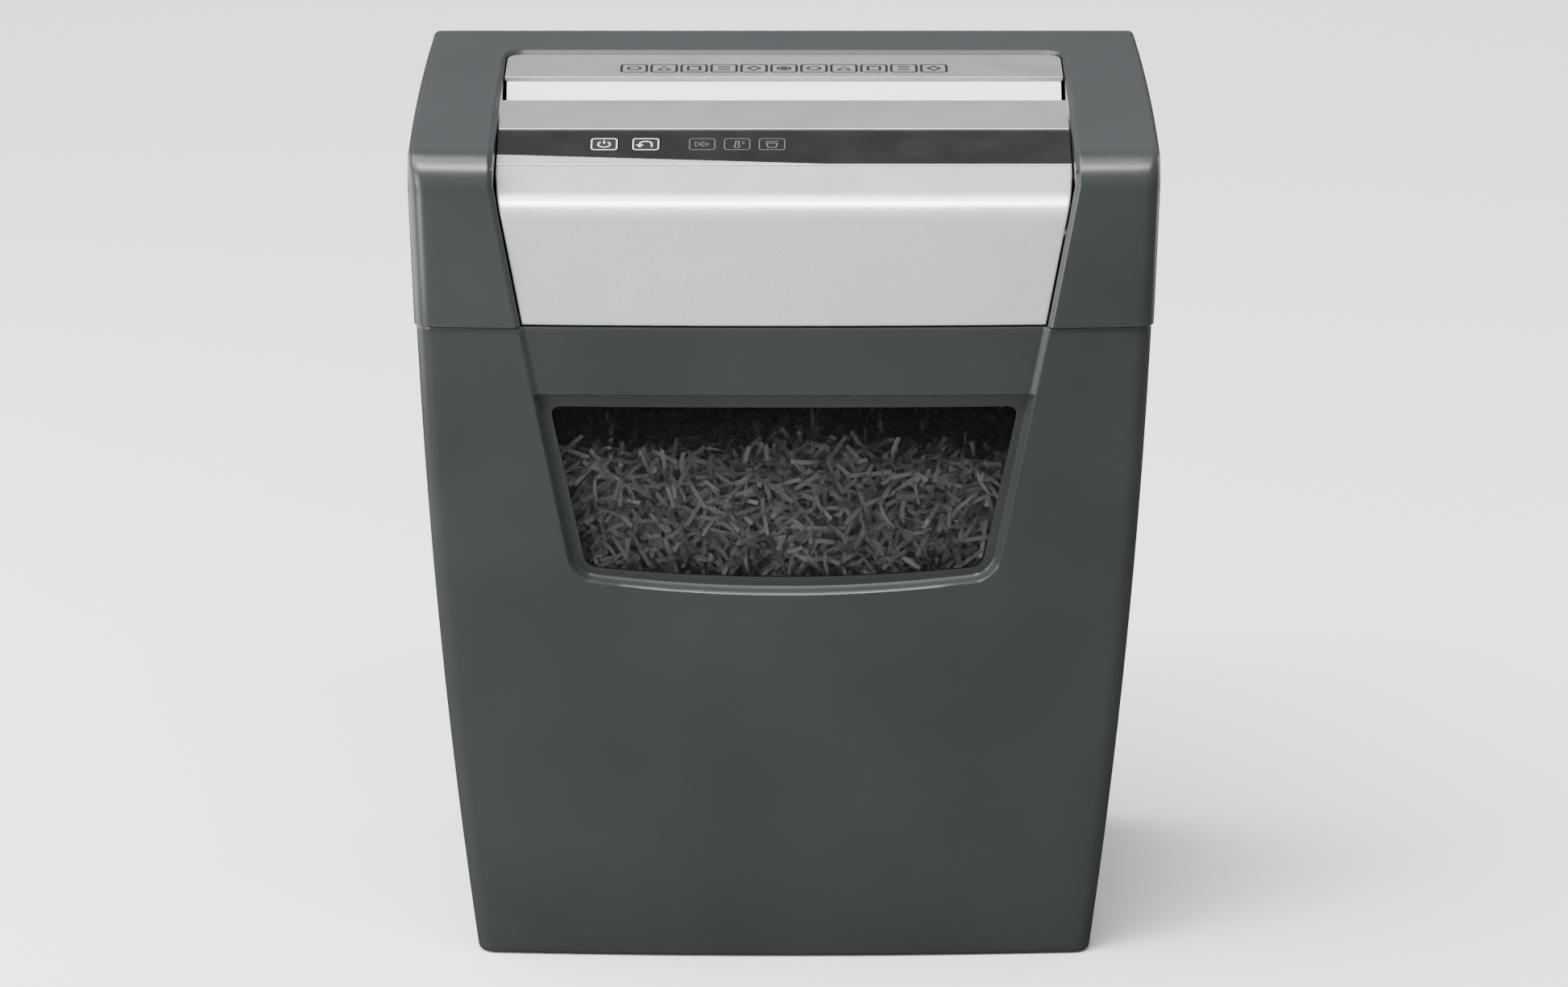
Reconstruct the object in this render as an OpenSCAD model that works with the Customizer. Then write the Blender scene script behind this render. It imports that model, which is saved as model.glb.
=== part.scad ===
// Cross-cut paper shredder: a waste bin with a smoked window, and a lift-off head
// that rests on its rim and holds the cutters, the gear train, the motor and the controls.
// Origin: middle of the footprint's bounding box, on the floor. +Z up, front towards -Y.

/* [Overall size] */
// Width over the head's shoulders
body_w = 360; // [350:1:440]
// Depth over the head, front to back
body_d = 250; // [250:1:310]
// Height of the bin, floor to seam
bin_h = 331; // [270:1:400]
// Height of the head above the seam, at its rear edge
head_h = 85; // [85:1:100]

/* [Bin] */
// Width of the bin at the floor
bin_foot_w = 303; // [250:1:340]
// How far the bin's top stands inside the head, on each side
bin_step = 1; // [0.5:0.1:2]
// How far the bin's front slopes back from seam to floor
front_lean = 27; // [10:1:40]
// How far the bin's back slopes in from seam to floor
back_lean = 12; // [0:1:20]
// Wall thickness of the bin
bin_wall = 2.6; // [2:0.1:4]
// Thickness of the bin's floor
bin_floor = 3; // [2:0.1:6]
// How much the sloping walls swell outwards, as a share of their slope
wall_swell = 0.54; // [0:0.01:0.8]
// Bow of the front face, middle to corner
front_bow = 5; // [0:0.5:10]
// Radius of the vertical front corners
front_corner_r = 8; // [5:0.5:16]
// Radius of the vertical rear corners
rear_corner_r = 9; // [5:0.5:16]

/* [Window] */
// How far the window's upper edge lies below the seam
window_drop = 41.5; // [36:0.5:60]
// Height of the window, at its middle
window_h = 87.5; // [50:0.5:120]
// Width of the window at its upper edge
window_w = 225; // [160:1:226]
// Width of the margin round the window
window_margin = 8; // [6:0.5:12]
// Depth of the bar's recess between the ribs
bar_sink = 2.6; // [1:0.1:4]
// Depth of the window's recess, from the ribs
window_sink = 6; // [4:0.1:9]
// Thickness of the smoked pane
pane_t = 2; // [1.5:0.1:3]

/* [Head shell] */
// Wall thickness of the head's mouldings
shell_t = 2.5; // [2:0.1:3.5]
// Radius of the rounded front top edge
knee_r = 17; // [10:0.5:22]
// How far the head's front slopes back from seam to knee
head_lean = 7; // [2:0.5:10]
// Fall of the top face from rear to front
top_fall = 3; // [0:0.5:5]
// Width of the channel between the shoulders, at the top
channel_w = 278; // [260:1:290]
// Width of the silver front at the seam
fascia_foot_w = 252; // [230:1:260]
// Gap round the panels set into the head
panel_gap = 0.8; // [0.4:0.1:1.5]
// Depth of the dark rim behind the channel
rear_rim = 43; // [35:1:60]
// Depth of the rear top panel, front to back
rear_panel_d = 45; // [35:1:50]
// Play between the head's lower edge and the bin's rim
seam_gap = 0.4; // [0.3:0.05:1]
// How far the lower housing hangs into the bin
housing_drop = 38; // [34:1:50]
// Half width of the lower housing
housing_half_w = 163; // [160:0.5:166]

/* [Throat] */
// Width of paper that the throat takes
throat_w = 225; // [215:1:230]
// Width of the slot that the paper drops through
slot_w = 6; // [5:0.5:8]
// Width of the mouth above the slot, rear panel to front panel
mouth_d = 45; // [35:1:50]

/* [Cutters] */
// Number of cutting discs on each shaft
disc_count = 26; // [20:1:26]
// Pitch of the discs along a shaft
disc_pitch = 8.6; // [7:0.1:8.6]
// Side play between neighbouring discs of the two shafts
disc_play = 0.3; // [0.2:0.05:0.5]
// Outer radius of a cutting disc
disc_r = 19.5; // [18:0.1:20]
// Radius of the spacer between two discs
spacer_r = 11.5; // [10:0.1:12]
// Width across the flats of the hexagonal shaft
hex_af = 14; // [12:0.5:15]
// Radius of the shaft's journals
journal_r = 6; // [5:0.1:6.5]
// Radial running clearance of every shaft in its bearing
run_fit = 0.05; // [0.02:0.01:0.09]

/* [Gear train] */
// Teeth of each of the two equal gears that link the shafts
sync_teeth = 22; // [20:1:24]
// Module of the linking gears
sync_module = 1.5; // [1.4:0.05:1.6]
// Teeth of every pinion
pinion_teeth = 12; // [12:1:14]
// Teeth of the first wheel, driven by the motor
first_teeth = 48; // [40:1:50]
// Module of the first stage
first_module = 1; // [0.8:0.05:1]
// Teeth of the second wheel
second_teeth = 48; // [40:1:50]
// Module of the second stage
second_module = 1.25; // [1:0.05:1.3]
// Teeth of the wheel on the front cutter shaft
drive_teeth = 36; // [32:1:38]
// Module of the last stage
drive_module = 1.75; // [1.5:0.05:1.8]
// Face width of a wheel
wheel_t = 8; // [6:0.5:9]
// Radius of the fixed pins that the compound gears turn on
gear_pin_r = 4; // [3:0.5:4.5]

/* [Motor] */
// Outer radius of the motor's case
motor_r = 24; // [21:0.5:26]
// Length of the motor's case
motor_l = 66; // [55:1:75]
// Radius of the motor's shaft
motor_shaft_r = 2.5; // [2:0.1:3]

/* [Keys] */
// Width of a key
key_w = 13.4; // [10:0.1:16]
// Height of a key along the control panel
key_h = 12.2; // [8:0.1:14]
// Travel of a key
key_travel = 0.8; // [0.5:0.1:1.2]
// Side play of a key in its hole
key_play = 0.35; // [0.3:0.05:0.6]

/* [Hidden] */

dark = [0.29, 0.31, 0.32];
silver = [0.78, 0.79, 0.80];
steel = [0.66, 0.67, 0.69];
white = [0.86, 0.86, 0.84];
green = [0.12, 0.35, 0.22];

eps = 0.01;
seam_z = bin_h;
window_top_z = seam_z - window_drop;
window_low_z = window_top_z - window_h;
back_y = body_d / 2;
// The bowed front is cut away between the shoulders, so they are the foremost part.
front_y = -body_d / 2 - front_bow * pow(fascia_foot_w / (body_w - 5), 2);

// ---------- outlines ----------
arc_steps = 5;
front_steps = 12;
side_steps = 8;
back_steps = 4;
side_bow = 3;
bow_centre = 0.3;

function arc_pts(cx, cy, r, a0) =
    [for (i = [0 : arc_steps]) let (a = a0 + 90 * i / arc_steps) [cx + r * cos(a), cy + r * sin(a)]];

function edge_pts(p, q, n) = [for (i = [1 : n - 1]) p + (q - p) * i / n];

// A rounded rectangle from yf to yb, walked anticlockwise from its front left corner.
function plain_ring(hw, yf, yb, rf, rb) = concat(
    arc_pts(-hw + rf, yf + rf, rf, 180),
    edge_pts([-hw + rf, yf], [hw - rf, yf], front_steps),
    arc_pts(hw - rf, yf + rf, rf, 270),
    edge_pts([hw, yf + rf], [hw, yb - rb], side_steps),
    arc_pts(hw - rb, yb - rb, rb, 0),
    edge_pts([hw - rb, yb], [-hw + rb, yb], back_steps),
    arc_pts(-hw + rb, yb - rb, rb, 90),
    edge_pts([-hw, yb - rb], [-hw, yf + rf], side_steps));

// The front bows out by front_bow, and the sides draw in by side_bow towards the back.
function bowed(p, hw, yf, yb) =
    let (yc = yf + (yb - yf) * bow_centre,
         draw = side_bow / hw * pow((p.y - yc) / (yb - yc), 2),
         near = max(0, (yc - p.y) / (yc - yf)))
    [p.x * (1 - draw), p.y + near * front_bow * pow(p.x / hw, 2)];

function ring(hw, yf, yb, rf, rb) = [for (p = plain_ring(hw, yf, yb, rf, rb)) bowed(p, hw, yf, yb)];

// A closed solid through rings of equal length, each at its own height.
module loft(heights, rings) {
    n = len(rings[0]);
    last = len(rings) - 1;
    points = [for (k = [0 : last]) for (p = rings[k]) [p.x, p.y, heights[k]]];
    walls = [for (k = [0 : last - 1]) for (j = [0 : n - 1])
             let (a = k * n + j, b = k * n + (j + 1) % n) [a, a + n, b + n, b]];
    floor_face = [for (j = [0 : n - 1]) j];
    top_face = [for (j = [n - 1 : -1 : 0]) last * n + j];
    polyhedron(points, concat([floor_face], walls, [top_face]), convexity = 6);
}

// A sheet between two grids of points with the same rows and columns.
module sheet(outer, inner) {
    rows = len(outer);
    cols = len(outer[0]);
    size = rows * cols;
    points = concat([for (r = outer) for (p = r) p], [for (r = inner) for (p = r) p]);
    front_faces = [for (i = [0 : rows - 2]) for (j = [0 : cols - 2])
                   let (a = i * cols + j) [a, a + 1, a + cols + 1, a + cols]];
    back_faces = [for (f = front_faces) [f[3] + size, f[2] + size, f[1] + size, f[0] + size]];
    first_row = [for (j = [0 : cols - 2]) [j, j + size, j + 1 + size, j + 1]];
    last_row = [for (j = [0 : cols - 2]) let (a = (rows - 1) * cols + j)
                [a + 1, a + 1 + size, a + size, a]];
    first_col = [for (i = [0 : rows - 2]) let (a = i * cols) [a + cols, a + cols + size, a + size, a]];
    last_col = [for (i = [0 : rows - 2]) let (a = i * cols + cols - 1)
                [a, a + size, a + cols + size, a + cols]];
    polyhedron(points, concat(front_faces, back_faces, first_row, last_row, first_col, last_col),
               convexity = 4);
}

// A profile in the YZ plane, drawn out along X and centred.
module along_x(length) {
    rotate([90, 0, 90])
        translate([0, 0, -length / 2])
            linear_extrude(length)
                children();
}

// An outline in the XZ plane, drawn out along Y from y0 to y1.
module along_y(y0, y1) {
    translate([0, y1, 0])
        rotate([90, 0, 0])
            linear_extrude(y1 - y0)
                children();
}

// A round bar along X from x0 to x1.
module bar_x(x0, x1, r, fn = 0) {
    translate([x0, 0, 0])
        rotate([0, 90, 0])
            cylinder(h = x1 - x0, r = r, $fn = fn > 0 ? fn : 48);
}

module at_yz(p) {
    translate([0, p.x, p.y])
        children();
}

// ---------- bin ----------
bin_top_w = body_w - 5 - 2 * bin_step;
bin_levels = [0, 0.08, 0.2, 0.35, 0.5, 0.65, 0.8, 0.9, 1];

function swell(t) = t * (1 + wall_swell * (1 - t));
function bin_hw(z) = (bin_foot_w + (bin_top_w - bin_foot_w) * swell(z / bin_h)) / 2;
function bin_front(z) = front_y + bin_step + front_lean * (1 - swell(z / bin_h));
function bin_back(z) = back_y - 2 - bin_step - back_lean * (1 - swell(z / bin_h));
function bin_ring(z, inset) =
    ring(bin_hw(z) - inset, bin_front(z) + inset, bin_back(z) - inset,
         front_corner_r - min(inset, front_corner_r - 2), rear_corner_r - min(inset, rear_corner_r - 2));

// The bin's outer form drawn in by inset, from height z0 to z1.
module tub(inset, z0, z1) {
    heights = [for (t = bin_levels) z0 + (z1 - z0) * t];
    loft(heights, [for (z = heights) bin_ring(z, inset)]);
}

// Half width of the silver front and of the recess below it, at height z.
rib_slope = (channel_w - fascia_foot_w) / 2 / 68;
function rib_x(z) = fascia_foot_w / 2 + (z - seam_z) * rib_slope;

// The recess between the ribs: straight sides, round lower corners and a bowed lower edge.
recess_low_z = window_low_z - window_margin + 2;
recess_corner_r = 9;
recess_bow = 7;
module recess_outline(top_z, grow) {
    low = recess_low_z - grow;
    x_top = rib_x(top_z) + grow;
    x_low = rib_x(low) + grow;
    bow_r = (x_low * x_low + recess_bow * recess_bow) / (2 * recess_bow);
    intersection() {
        offset(r = recess_corner_r, $fn = 32)
            offset(delta = -recess_corner_r)
                polygon([[-x_low, low], [x_low, low], [x_top, top_z + 40], [-x_top, top_z + 40]]);
        translate([0, low + bow_r])
            circle(r = bow_r, $fn = 240);
        translate([-x_top - 1, low - 1])
            square([2 * x_top + 2, top_z - low + 1]);
    }
}

// The recess as a cutter whose walls open outwards.
module recess_cutter(top_z) {
    hull() {
        along_y(front_y - 2, front_y - 1)
            recess_outline(top_z, 1.5);
        along_y(front_y + 45, front_y + 46)
            recess_outline(top_z, -5);
    }
}

window_corner_r = 5.5;
window_foot_w = window_w - 2 * (window_top_z - window_low_z) * rib_slope;
module window_outline(grow) {
    bow = 5;
    bow_r = (pow(window_foot_w / 2, 2) + bow * bow) / (2 * bow);
    intersection() {
        offset(r = window_corner_r, $fn = 32)
            offset(delta = grow - window_corner_r)
                polygon([[-window_foot_w / 2, window_low_z], [window_foot_w / 2, window_low_z],
                         [window_w / 2, window_top_z], [-window_w / 2, window_top_z]]);
        translate([0, window_low_z - grow + bow_r])
            circle(r = bow_r, $fn = 240);
    }
}

bar_low_z = window_top_z + 7;
bin_rim_z = seam_z - seam_gap;
ledge_w = 10;
ledge_h = 16;
module bin_shell() {
    color(dark) {
        difference() {
            tub(0, 0, bin_rim_z);
            difference() {
                tub(bin_wall, bin_floor, bin_rim_z + 1);
                difference() {
                    along_y(front_y - 1, front_y + 60)
                        recess_outline(bin_rim_z + 2, 5);
                    tub(window_sink + bin_wall, bin_floor - 1, bin_rim_z + 3);
                }
            }
            difference() {
                recess_cutter(bin_rim_z + 1);
                tub(bar_sink, -1, bin_rim_z + 2);
            }
            difference() {
                recess_cutter(bar_low_z);
                tub(window_sink, -1, bin_rim_z + 2);
            }
            along_y(front_y - 1, front_y + 60)
                window_outline(0);
        }
        interlock_ledge();
    }
}

// A ledge inside the left rim that presses the interlock plunger.
module interlock_ledge() {
    outer = -bin_hw(bin_rim_z) + bin_wall / 2;
    inner = plunger_x + plunger_r + 2;
    along_y(plunger_y - ledge_w / 2, plunger_y + ledge_w / 2)
        polygon([[outer, bin_rim_z], [inner, bin_rim_z], [inner, bin_rim_z - 4],
                 [outer, bin_rim_z - ledge_h]]);
}

module bin_window() {
    color([0.1, 0.11, 0.12, 0.5])
        intersection() {
            along_y(front_y - 1, front_y + 60)
                window_outline(6);
            difference() {
                tub(window_sink + bin_wall + 0.05, 20, bin_h - 4);
                tub(window_sink + bin_wall + 0.05 + pane_t, 19, bin_h - 3);
            }
        }
}

// ---------- head: outer shell ----------
head_seam_hw = body_w / 2 - 2.5;
knee_z = seam_z + head_h - top_fall - knee_r;
knee_y = front_y + head_lean + knee_r;
knee_steps = 6;
rear_edge_y = back_y - rear_rim;
top_tilt = atan(top_fall / (back_y - knee_y));

function head_top(y) = seam_z + head_h - (back_y - y) * tan(top_tilt);
function head_hw(z) = head_seam_hw + 2.5 * min(1, (z - seam_z) / (knee_z - seam_z));

function head_ring(z, yf, inset) =
    ring(head_hw(z) - inset, yf + inset, back_y - inset,
         front_corner_r - min(inset, 5), rear_corner_r - min(inset, 5));

// The head's outer form drawn in by inset, from its lower edge up to the top plane.
module head_form(inset, z0 = seam_z) {
    face = [for (t = [0 : 0.25 : 1]) [z0 + (knee_z - z0) * t, front_y + head_lean * pow(t, 1.4)]];
    arc = [for (k = [1 : knee_steps]) let (a = 90 * k / knee_steps)
           [knee_z + (knee_r - inset) * sin(a), front_y + head_lean + (knee_r - inset) * (1 - cos(a))]];
    top = [[seam_z + head_h + 1, front_y + head_lean + knee_r - inset]];
    levels = concat(face, arc, top);
    difference() {
        loft([for (l = levels) l.x], [for (l = levels) head_ring(l.x, l.y, inset)]);
        translate([0, back_y, seam_z + head_h - inset])
            rotate([top_tilt, 0, 0])
                translate([-body_w, -2 * body_d, 0])
                    cube([2 * body_w, 3 * body_d, head_h]);
    }
}

channel_corner_r = 8;
module channel_plan(grow) {
    hw = channel_w / 2 + grow;
    y1 = rear_edge_y + grow;
    polygon(concat([[-hw, front_y - 1], [hw, front_y - 1]],
                   arc_pts(hw - channel_corner_r, y1 - channel_corner_r, channel_corner_r, 0),
                   arc_pts(-hw + channel_corner_r, y1 - channel_corner_r, channel_corner_r, 90)));
}

// The straight-sided opening between the shoulders, seen from the front.
fascia_rise = 68;
module channel_front(grow) {
    polygon([[-rib_x(seam_z - 2) - grow, seam_z - 2], [rib_x(seam_z - 2) + grow, seam_z - 2],
             [channel_w / 2 + grow, seam_z + fascia_rise], [-channel_w / 2 - grow, seam_z + fascia_rise]]);
}

post_x = 152;
post_front_y = -92;
post_rear_y = 102;
post_r = 4.5;
screw_r = 1.5;
floor_z = seam_z - housing_drop;
tray_t = 2.5;
skirt_t = 2;
skirt_low_z = seam_z + 62;

module at_posts(z) {
    for (x = [-post_x, post_x])
        for (y = [post_front_y, post_rear_y])
            translate([x, y, z])
                children();
}

inlet_x = -118;
inlet_z = seam_z + 22;
inlet_r = 8;

module head_cover() {
    color(dark)
        difference() {
            union() {
                difference() {
                    head_form(0);
                    head_form(shell_t, seam_z - 1);
                }
                intersection() {
                    head_form(1);
                    translate([0, 0, skirt_low_z])
                        linear_extrude(head_h)
                            difference() {
                                channel_plan(skirt_t);
                                channel_plan(0);
                            }
                }
                intersection() {
                    head_form(1);
                    at_posts(floor_z + tray_t)
                        cylinder(h = head_h + housing_drop, r = post_r, $fn = 32);
                }
                at_posts(floor_z + tray_t)
                    cylinder(h = housing_drop + 10, r = post_r, $fn = 32);
            }
            translate([0, 0, seam_z + fascia_rise])
                linear_extrude(head_h)
                    channel_plan(0);
            along_y(front_y - 1, front_y + 40)
                channel_front(0);
            at_posts(floor_z)
                cylinder(h = 24, r = screw_r + 0.1, $fn = 24);
            translate([inlet_x, back_y - 10, inlet_z])
                rotate([-90, 0, 0])
                    cylinder(h = 20, r = inlet_r + 0.1, $fn = 48);
        }
}

module cord_inlet() {
    color([0.1, 0.1, 0.1])
        translate([inlet_x, back_y - 0.4, inlet_z])
            rotate([90, 0, 0])
                difference() {
                    union() {
                        cylinder(h = 6, r = inlet_r, $fn = 48);
                        translate([0, 0, shell_t])
                            cylinder(h = 3, r = inlet_r + 2.5, $fn = 48);
                        cylinder(h = 14, r = inlet_r - 2, $fn = 48);
                    }
                    translate([0, 0, -1])
                        cylinder(h = 16, r = 3.6, $fn = 48);
                }
}

// ---------- head: axes of the machine ----------
// The paper slot lies midway between the two cutter shafts.
slot_y = 0;
cut_z = seam_z + 14;
shaft_gap = sync_teeth * sync_module;
front_axis = [slot_y - shaft_gap / 2, cut_z];
rear_axis = [slot_y + shaft_gap / 2, cut_z];
half_stack = disc_count * disc_pitch / 2;
plate_x = half_stack + 4;

// Centres of the train's axes in the YZ plane, worked out from the front shaft to the motor.
drive_angle = 20;
second_angle = 8;
first_angle = -65;
function stage(teeth, module_mm) = (pinion_teeth + teeth) * module_mm / 2;
function toward(a, l) = [l * cos(a), l * sin(a)];
second_axis = front_axis + toward(drive_angle, stage(drive_teeth, drive_module));
first_axis = second_axis + toward(second_angle, stage(second_teeth, second_module));
motor_axis = first_axis + toward(first_angle, stage(first_teeth, first_module));

// ---------- head: panels set into the channel ----------
panel_w = channel_w - 2 * panel_gap;
panel_t = 2.2;
mouth_y1 = rear_edge_y - panel_gap - rear_panel_d;
mouth_y0 = mouth_y1 - mouth_d;
rear_panel_z = head_top(mouth_y1) - 1.2;
lip_z = head_top(mouth_y0) - 0.8;
front_panel_d = 40.5;
front_panel_tilt = 5.6;
band_tilt = 13;
band_d = 35.2;
band_step = 0.8;

module rear_top_panel() {
    hw = panel_w / 2;
    y1 = rear_edge_y - panel_gap;
    r = channel_corner_r - panel_gap;
    color(silver) {
        translate([0, 0, rear_panel_z - panel_t])
            linear_extrude(panel_t)
                polygon(concat([[-hw, mouth_y1], [hw, mouth_y1]],
                               arc_pts(hw - r, y1 - r, r, 0), arc_pts(-hw + r, y1 - r, r, 90)));
        for (x = [-hw + 12, 0, hw - 12])
            translate([x - 1, mouth_y1 + 12, rear_panel_z - panel_t - 7])
                cube([2, 20, 7 + eps]);
    }
}

slot_low_z = seam_z + 37;
slot_top_z = seam_z + 50;
guide_t = 1.8;
neck_hw = plate_x - 1.2;
shelf_z = second_axis.y + second_teeth * second_module / 2 + second_module + 1.2;

// Below the shelf the chute's walls fit between the chassis plates, above it they fill the channel.
module chute_wall(points) {
    color(white)
        intersection() {
            along_x(panel_w - 2)
                polygon(points);
            union() {
                translate([-neck_hw, -body_d, slot_low_z - 1])
                    cube([2 * neck_hw, 2 * body_d, head_h]);
                translate([-body_w, -body_d, shelf_z])
                    cube([2 * body_w, 2 * body_d, head_h]);
            }
        }
}

module chute_back_wall() {
    rear = slot_y + slot_w / 2;
    top = rear_panel_z - panel_t - 0.2;
    chute_wall([[rear, slot_low_z], [rear, slot_top_z], [mouth_y1 - 0.3, top],
                [mouth_y1 + guide_t * 1.4, top], [rear + guide_t, slot_top_z - guide_t * 0.6],
                [rear + guide_t, slot_low_z]]);
}

module front_top_panel() {
    color(silver)
        translate([0, mouth_y0, lip_z])
            rotate([front_panel_tilt, 0, 0])
                along_x(panel_w)
                    polygon([[0, 0], [0, -panel_t - 2], [-1.6, -panel_t - 2], [-2.6, -panel_t],
                             [-front_panel_d + 2, -panel_t], [-front_panel_d, -1], [-front_panel_d, 0]]);
}

module throat_front_guide() {
    front = slot_y - slot_w / 2;
    top = lip_z - panel_t - 2.8;
    chute_wall([[front, slot_low_z], [front, slot_top_z + 14], [mouth_y0 - 0.2, top],
                [mouth_y0 - guide_t - 0.2, top], [front - guide_t, slot_top_z + 13],
                [front - guide_t, slot_low_z]]);
}

// The chute's two ends: a wall beside the neck, and a shelf from there out to the channel's side.
module chute_cheeks() {
    rear = slot_y + slot_w / 2;
    front = slot_y - slot_w / 2;
    slope = (mouth_y1 - 0.3 - rear) / (rear_panel_z - panel_t - 0.2 - slot_top_z);
    shelf_top = shelf_z + 1.5;
    shelf_rear = rear + (shelf_top - slot_top_z) * slope;
    end_t = neck_hw - throat_w / 2;
    color(white)
        for (s = [-1, 1]) {
            translate([s * (neck_hw - end_t / 2), 0, 0])
                along_x(end_t)
                    polygon([[front, slot_low_z], [front, shelf_top], [shelf_rear, shelf_top],
                             [rear, slot_top_z], [rear, slot_low_z]]);
            translate([s * (panel_w / 2 - 1 + throat_w / 2) / 2, 0, 0])
                along_x(panel_w / 2 - 1 - throat_w / 2)
                    polygon([[front, shelf_z], [front, shelf_top], [shelf_rear, shelf_top],
                             [rear + (shelf_z - slot_top_z) * slope, shelf_z]]);
        }
}

// Local frame of the control band: its upper edge is the X axis, and it falls towards -Y.
band_y = mouth_y0 - front_panel_d * cos(front_panel_tilt) - 0.3;
band_z = lip_z - front_panel_d * sin(front_panel_tilt) - band_step;
module on_band() {
    translate([0, band_y, band_z])
        rotate([band_tilt, 0, 0])
            children();
}

key_y = -14.3;
key_x = [-86.8, -66.7];
light_x = [-39.5, -22.6, -5.8];
light_r = 1.5;
trim_end_x = 21.5;
trim_h = 10.6;
trim_min = 1;
trim_gap = 0.15;

module control_panel() {
    hw = panel_w / 2;
    color([0.13, 0.14, 0.15])
        on_band()
            difference() {
                translate([0, 0, -panel_t])
                    linear_extrude(panel_t)
                        polygon([[-hw, 0], [-hw, -band_d + trim_h], [trim_end_x, -band_d + trim_min],
                                 [hw, -band_d + trim_min], [hw, 0]]);
                for (x = key_x)
                    translate([x - key_w / 2 - key_play, key_y - key_h / 2 - key_play, -panel_t - 1])
                        cube([key_w + 2 * key_play, key_h + 2 * key_play, panel_t + 2]);
                for (x = light_x)
                    translate([x, key_y, -panel_t - 1])
                        cylinder(h = panel_t, r = light_r + 0.2, $fn = 24);
            }
}

module accent_trim() {
    hw = panel_w / 2;
    color(silver)
        on_band()
            translate([0, 0, -panel_t])
                linear_extrude(panel_t)
                    polygon([[-hw, -band_d], [hw, -band_d], [hw, -band_d + trim_min - trim_gap],
                             [trim_end_x, -band_d + trim_min - trim_gap],
                             [-hw, -band_d + trim_h - trim_gap]]);
}

// One key: a cap flush with the band, and a stem that ends above its switch.
key_cap_t = 3;
switch_h = 3.5;
board_drop = 14;
module key(x) {
    color([0.16, 0.17, 0.18])
        on_band()
            translate([x, key_y, 0]) {
                translate([-key_w / 2, -key_h / 2, -key_cap_t])
                    cube([key_w, key_h, key_cap_t]);
                translate([0, 0, -board_drop + switch_h + key_travel + 0.3])
                    cylinder(h = board_drop - switch_h - key_travel - 0.3 - key_cap_t + eps, r = 2, $fn = 32);
            }
}

module power_key() {
    key(key_x[0]);
}

module reverse_key() {
    key(key_x[1]);
}

board_t = 1.6;
module control_board() {
    color(green)
        on_band()
            translate([key_x[0] - 14, key_y - 15, -board_drop - board_t])
                cube([light_x[2] - key_x[0] + 28, 26, board_t]);
}

module key_switches() {
    color([0.12, 0.12, 0.12])
        on_band()
            for (x = key_x)
                translate([x, key_y, -board_drop]) {
                    translate([-3, -3, 0])
                        cube([6, 6, switch_h - 0.8]);
                    cylinder(h = switch_h, r = 1.7, $fn = 32);
                }
}

module indicator_lights() {
    color([0.9, 0.9, 0.85])
        on_band()
            for (x = light_x)
                translate([x, key_y, -board_drop])
                    cylinder(h = board_drop - 1.4, r = light_r, $fn = 32);
}

// Side profile of the silver front: a shallow slope, a knee, then a leaning face.
fascia_top_y = band_y - (band_d + 1.4) * cos(band_tilt);
fascia_top_z = band_z - (band_d + 1.4) * sin(band_tilt) + 0.6;
fascia_slope = 19;
fascia_knee_r = 15;
fascia_slope_l = 23;
fascia_lean = 82;
fascia_t = 2.4;
fascia_cols = 16;
fascia_rows = 6;

function fascia_profile(inset) =
    let (ky = fascia_top_y - fascia_slope_l * cos(fascia_slope) + fascia_knee_r * sin(fascia_slope),
         kz = fascia_top_z - fascia_slope_l * sin(fascia_slope) - fascia_knee_r * cos(fascia_slope),
         r = fascia_knee_r - inset,
         low_z = seam_z + 0.6,
         end_y = ky - r * sin(fascia_lean),
         end_z = kz + r * cos(fascia_lean))
    concat([[fascia_top_y + inset * sin(fascia_slope), fascia_top_z - inset * cos(fascia_slope)]],
           [for (k = [0 : 6]) let (a = fascia_slope + (fascia_lean - fascia_slope) * k / 6)
            [ky - r * sin(a), kz + r * cos(a)]],
           [for (k = [1 : fascia_rows]) let (z = end_z + (low_z - end_z) * k / fascia_rows)
            [end_y - (end_z - z) / tan(fascia_lean), z]]);

function fascia_hw(z) = min(channel_w / 2, rib_x(z)) - panel_gap;
function fascia_grid(inset) =
    [for (p = fascia_profile(inset))
     [for (j = [0 : fascia_cols])
      let (x = (2 * j / fascia_cols - 1) * fascia_hw(p.y),
           near = min(1, (seam_z + fascia_rise - p.y) / fascia_rise))
      [x, p.x + near * front_bow * pow(x / head_seam_hw, 2), p.y]]];

module front_fascia() {
    color(silver)
        sheet(fascia_grid(0), fascia_grid(fascia_t));
}

// ---------- head: lower housing ----------
tray_y0 = -104;
tray_y1 = 110;
tray_r = 12;
flange_set_back = 9;
floor_top = floor_z + tray_t;
discharge_hw = 110;
discharge_hd = 23;
boss_h = 7;
plate_t = 2.5;
foot_d = 12;
foot_y = [-44, 56];

function rounded(hw, y0, y1, r) = concat(
    arc_pts(-hw + r, y0 + r, r, 180), arc_pts(hw - r, y0 + r, r, 270),
    arc_pts(hw - r, y1 - r, r, 0), arc_pts(-hw + r, y1 - r, r, 90));

plate_out = plate_x + plate_t;

plunger_x = -168.5;
plunger_y = 20;
plunger_r = 2;
plunger_travel = 3;
guide_h = 8;

module at_feet(z) {
    for (s = [-1, 1])
        for (y = foot_y)
            translate([s * (plate_x - foot_d / 2), y, z])
                children();
}

board_x = [-100, 20];
board_y = [-95, -63];
board_rise = 5;
module at_board_bosses(z) {
    for (x = board_x)
        for (y = board_y)
            translate([x, y, z])
                children();
}

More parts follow.
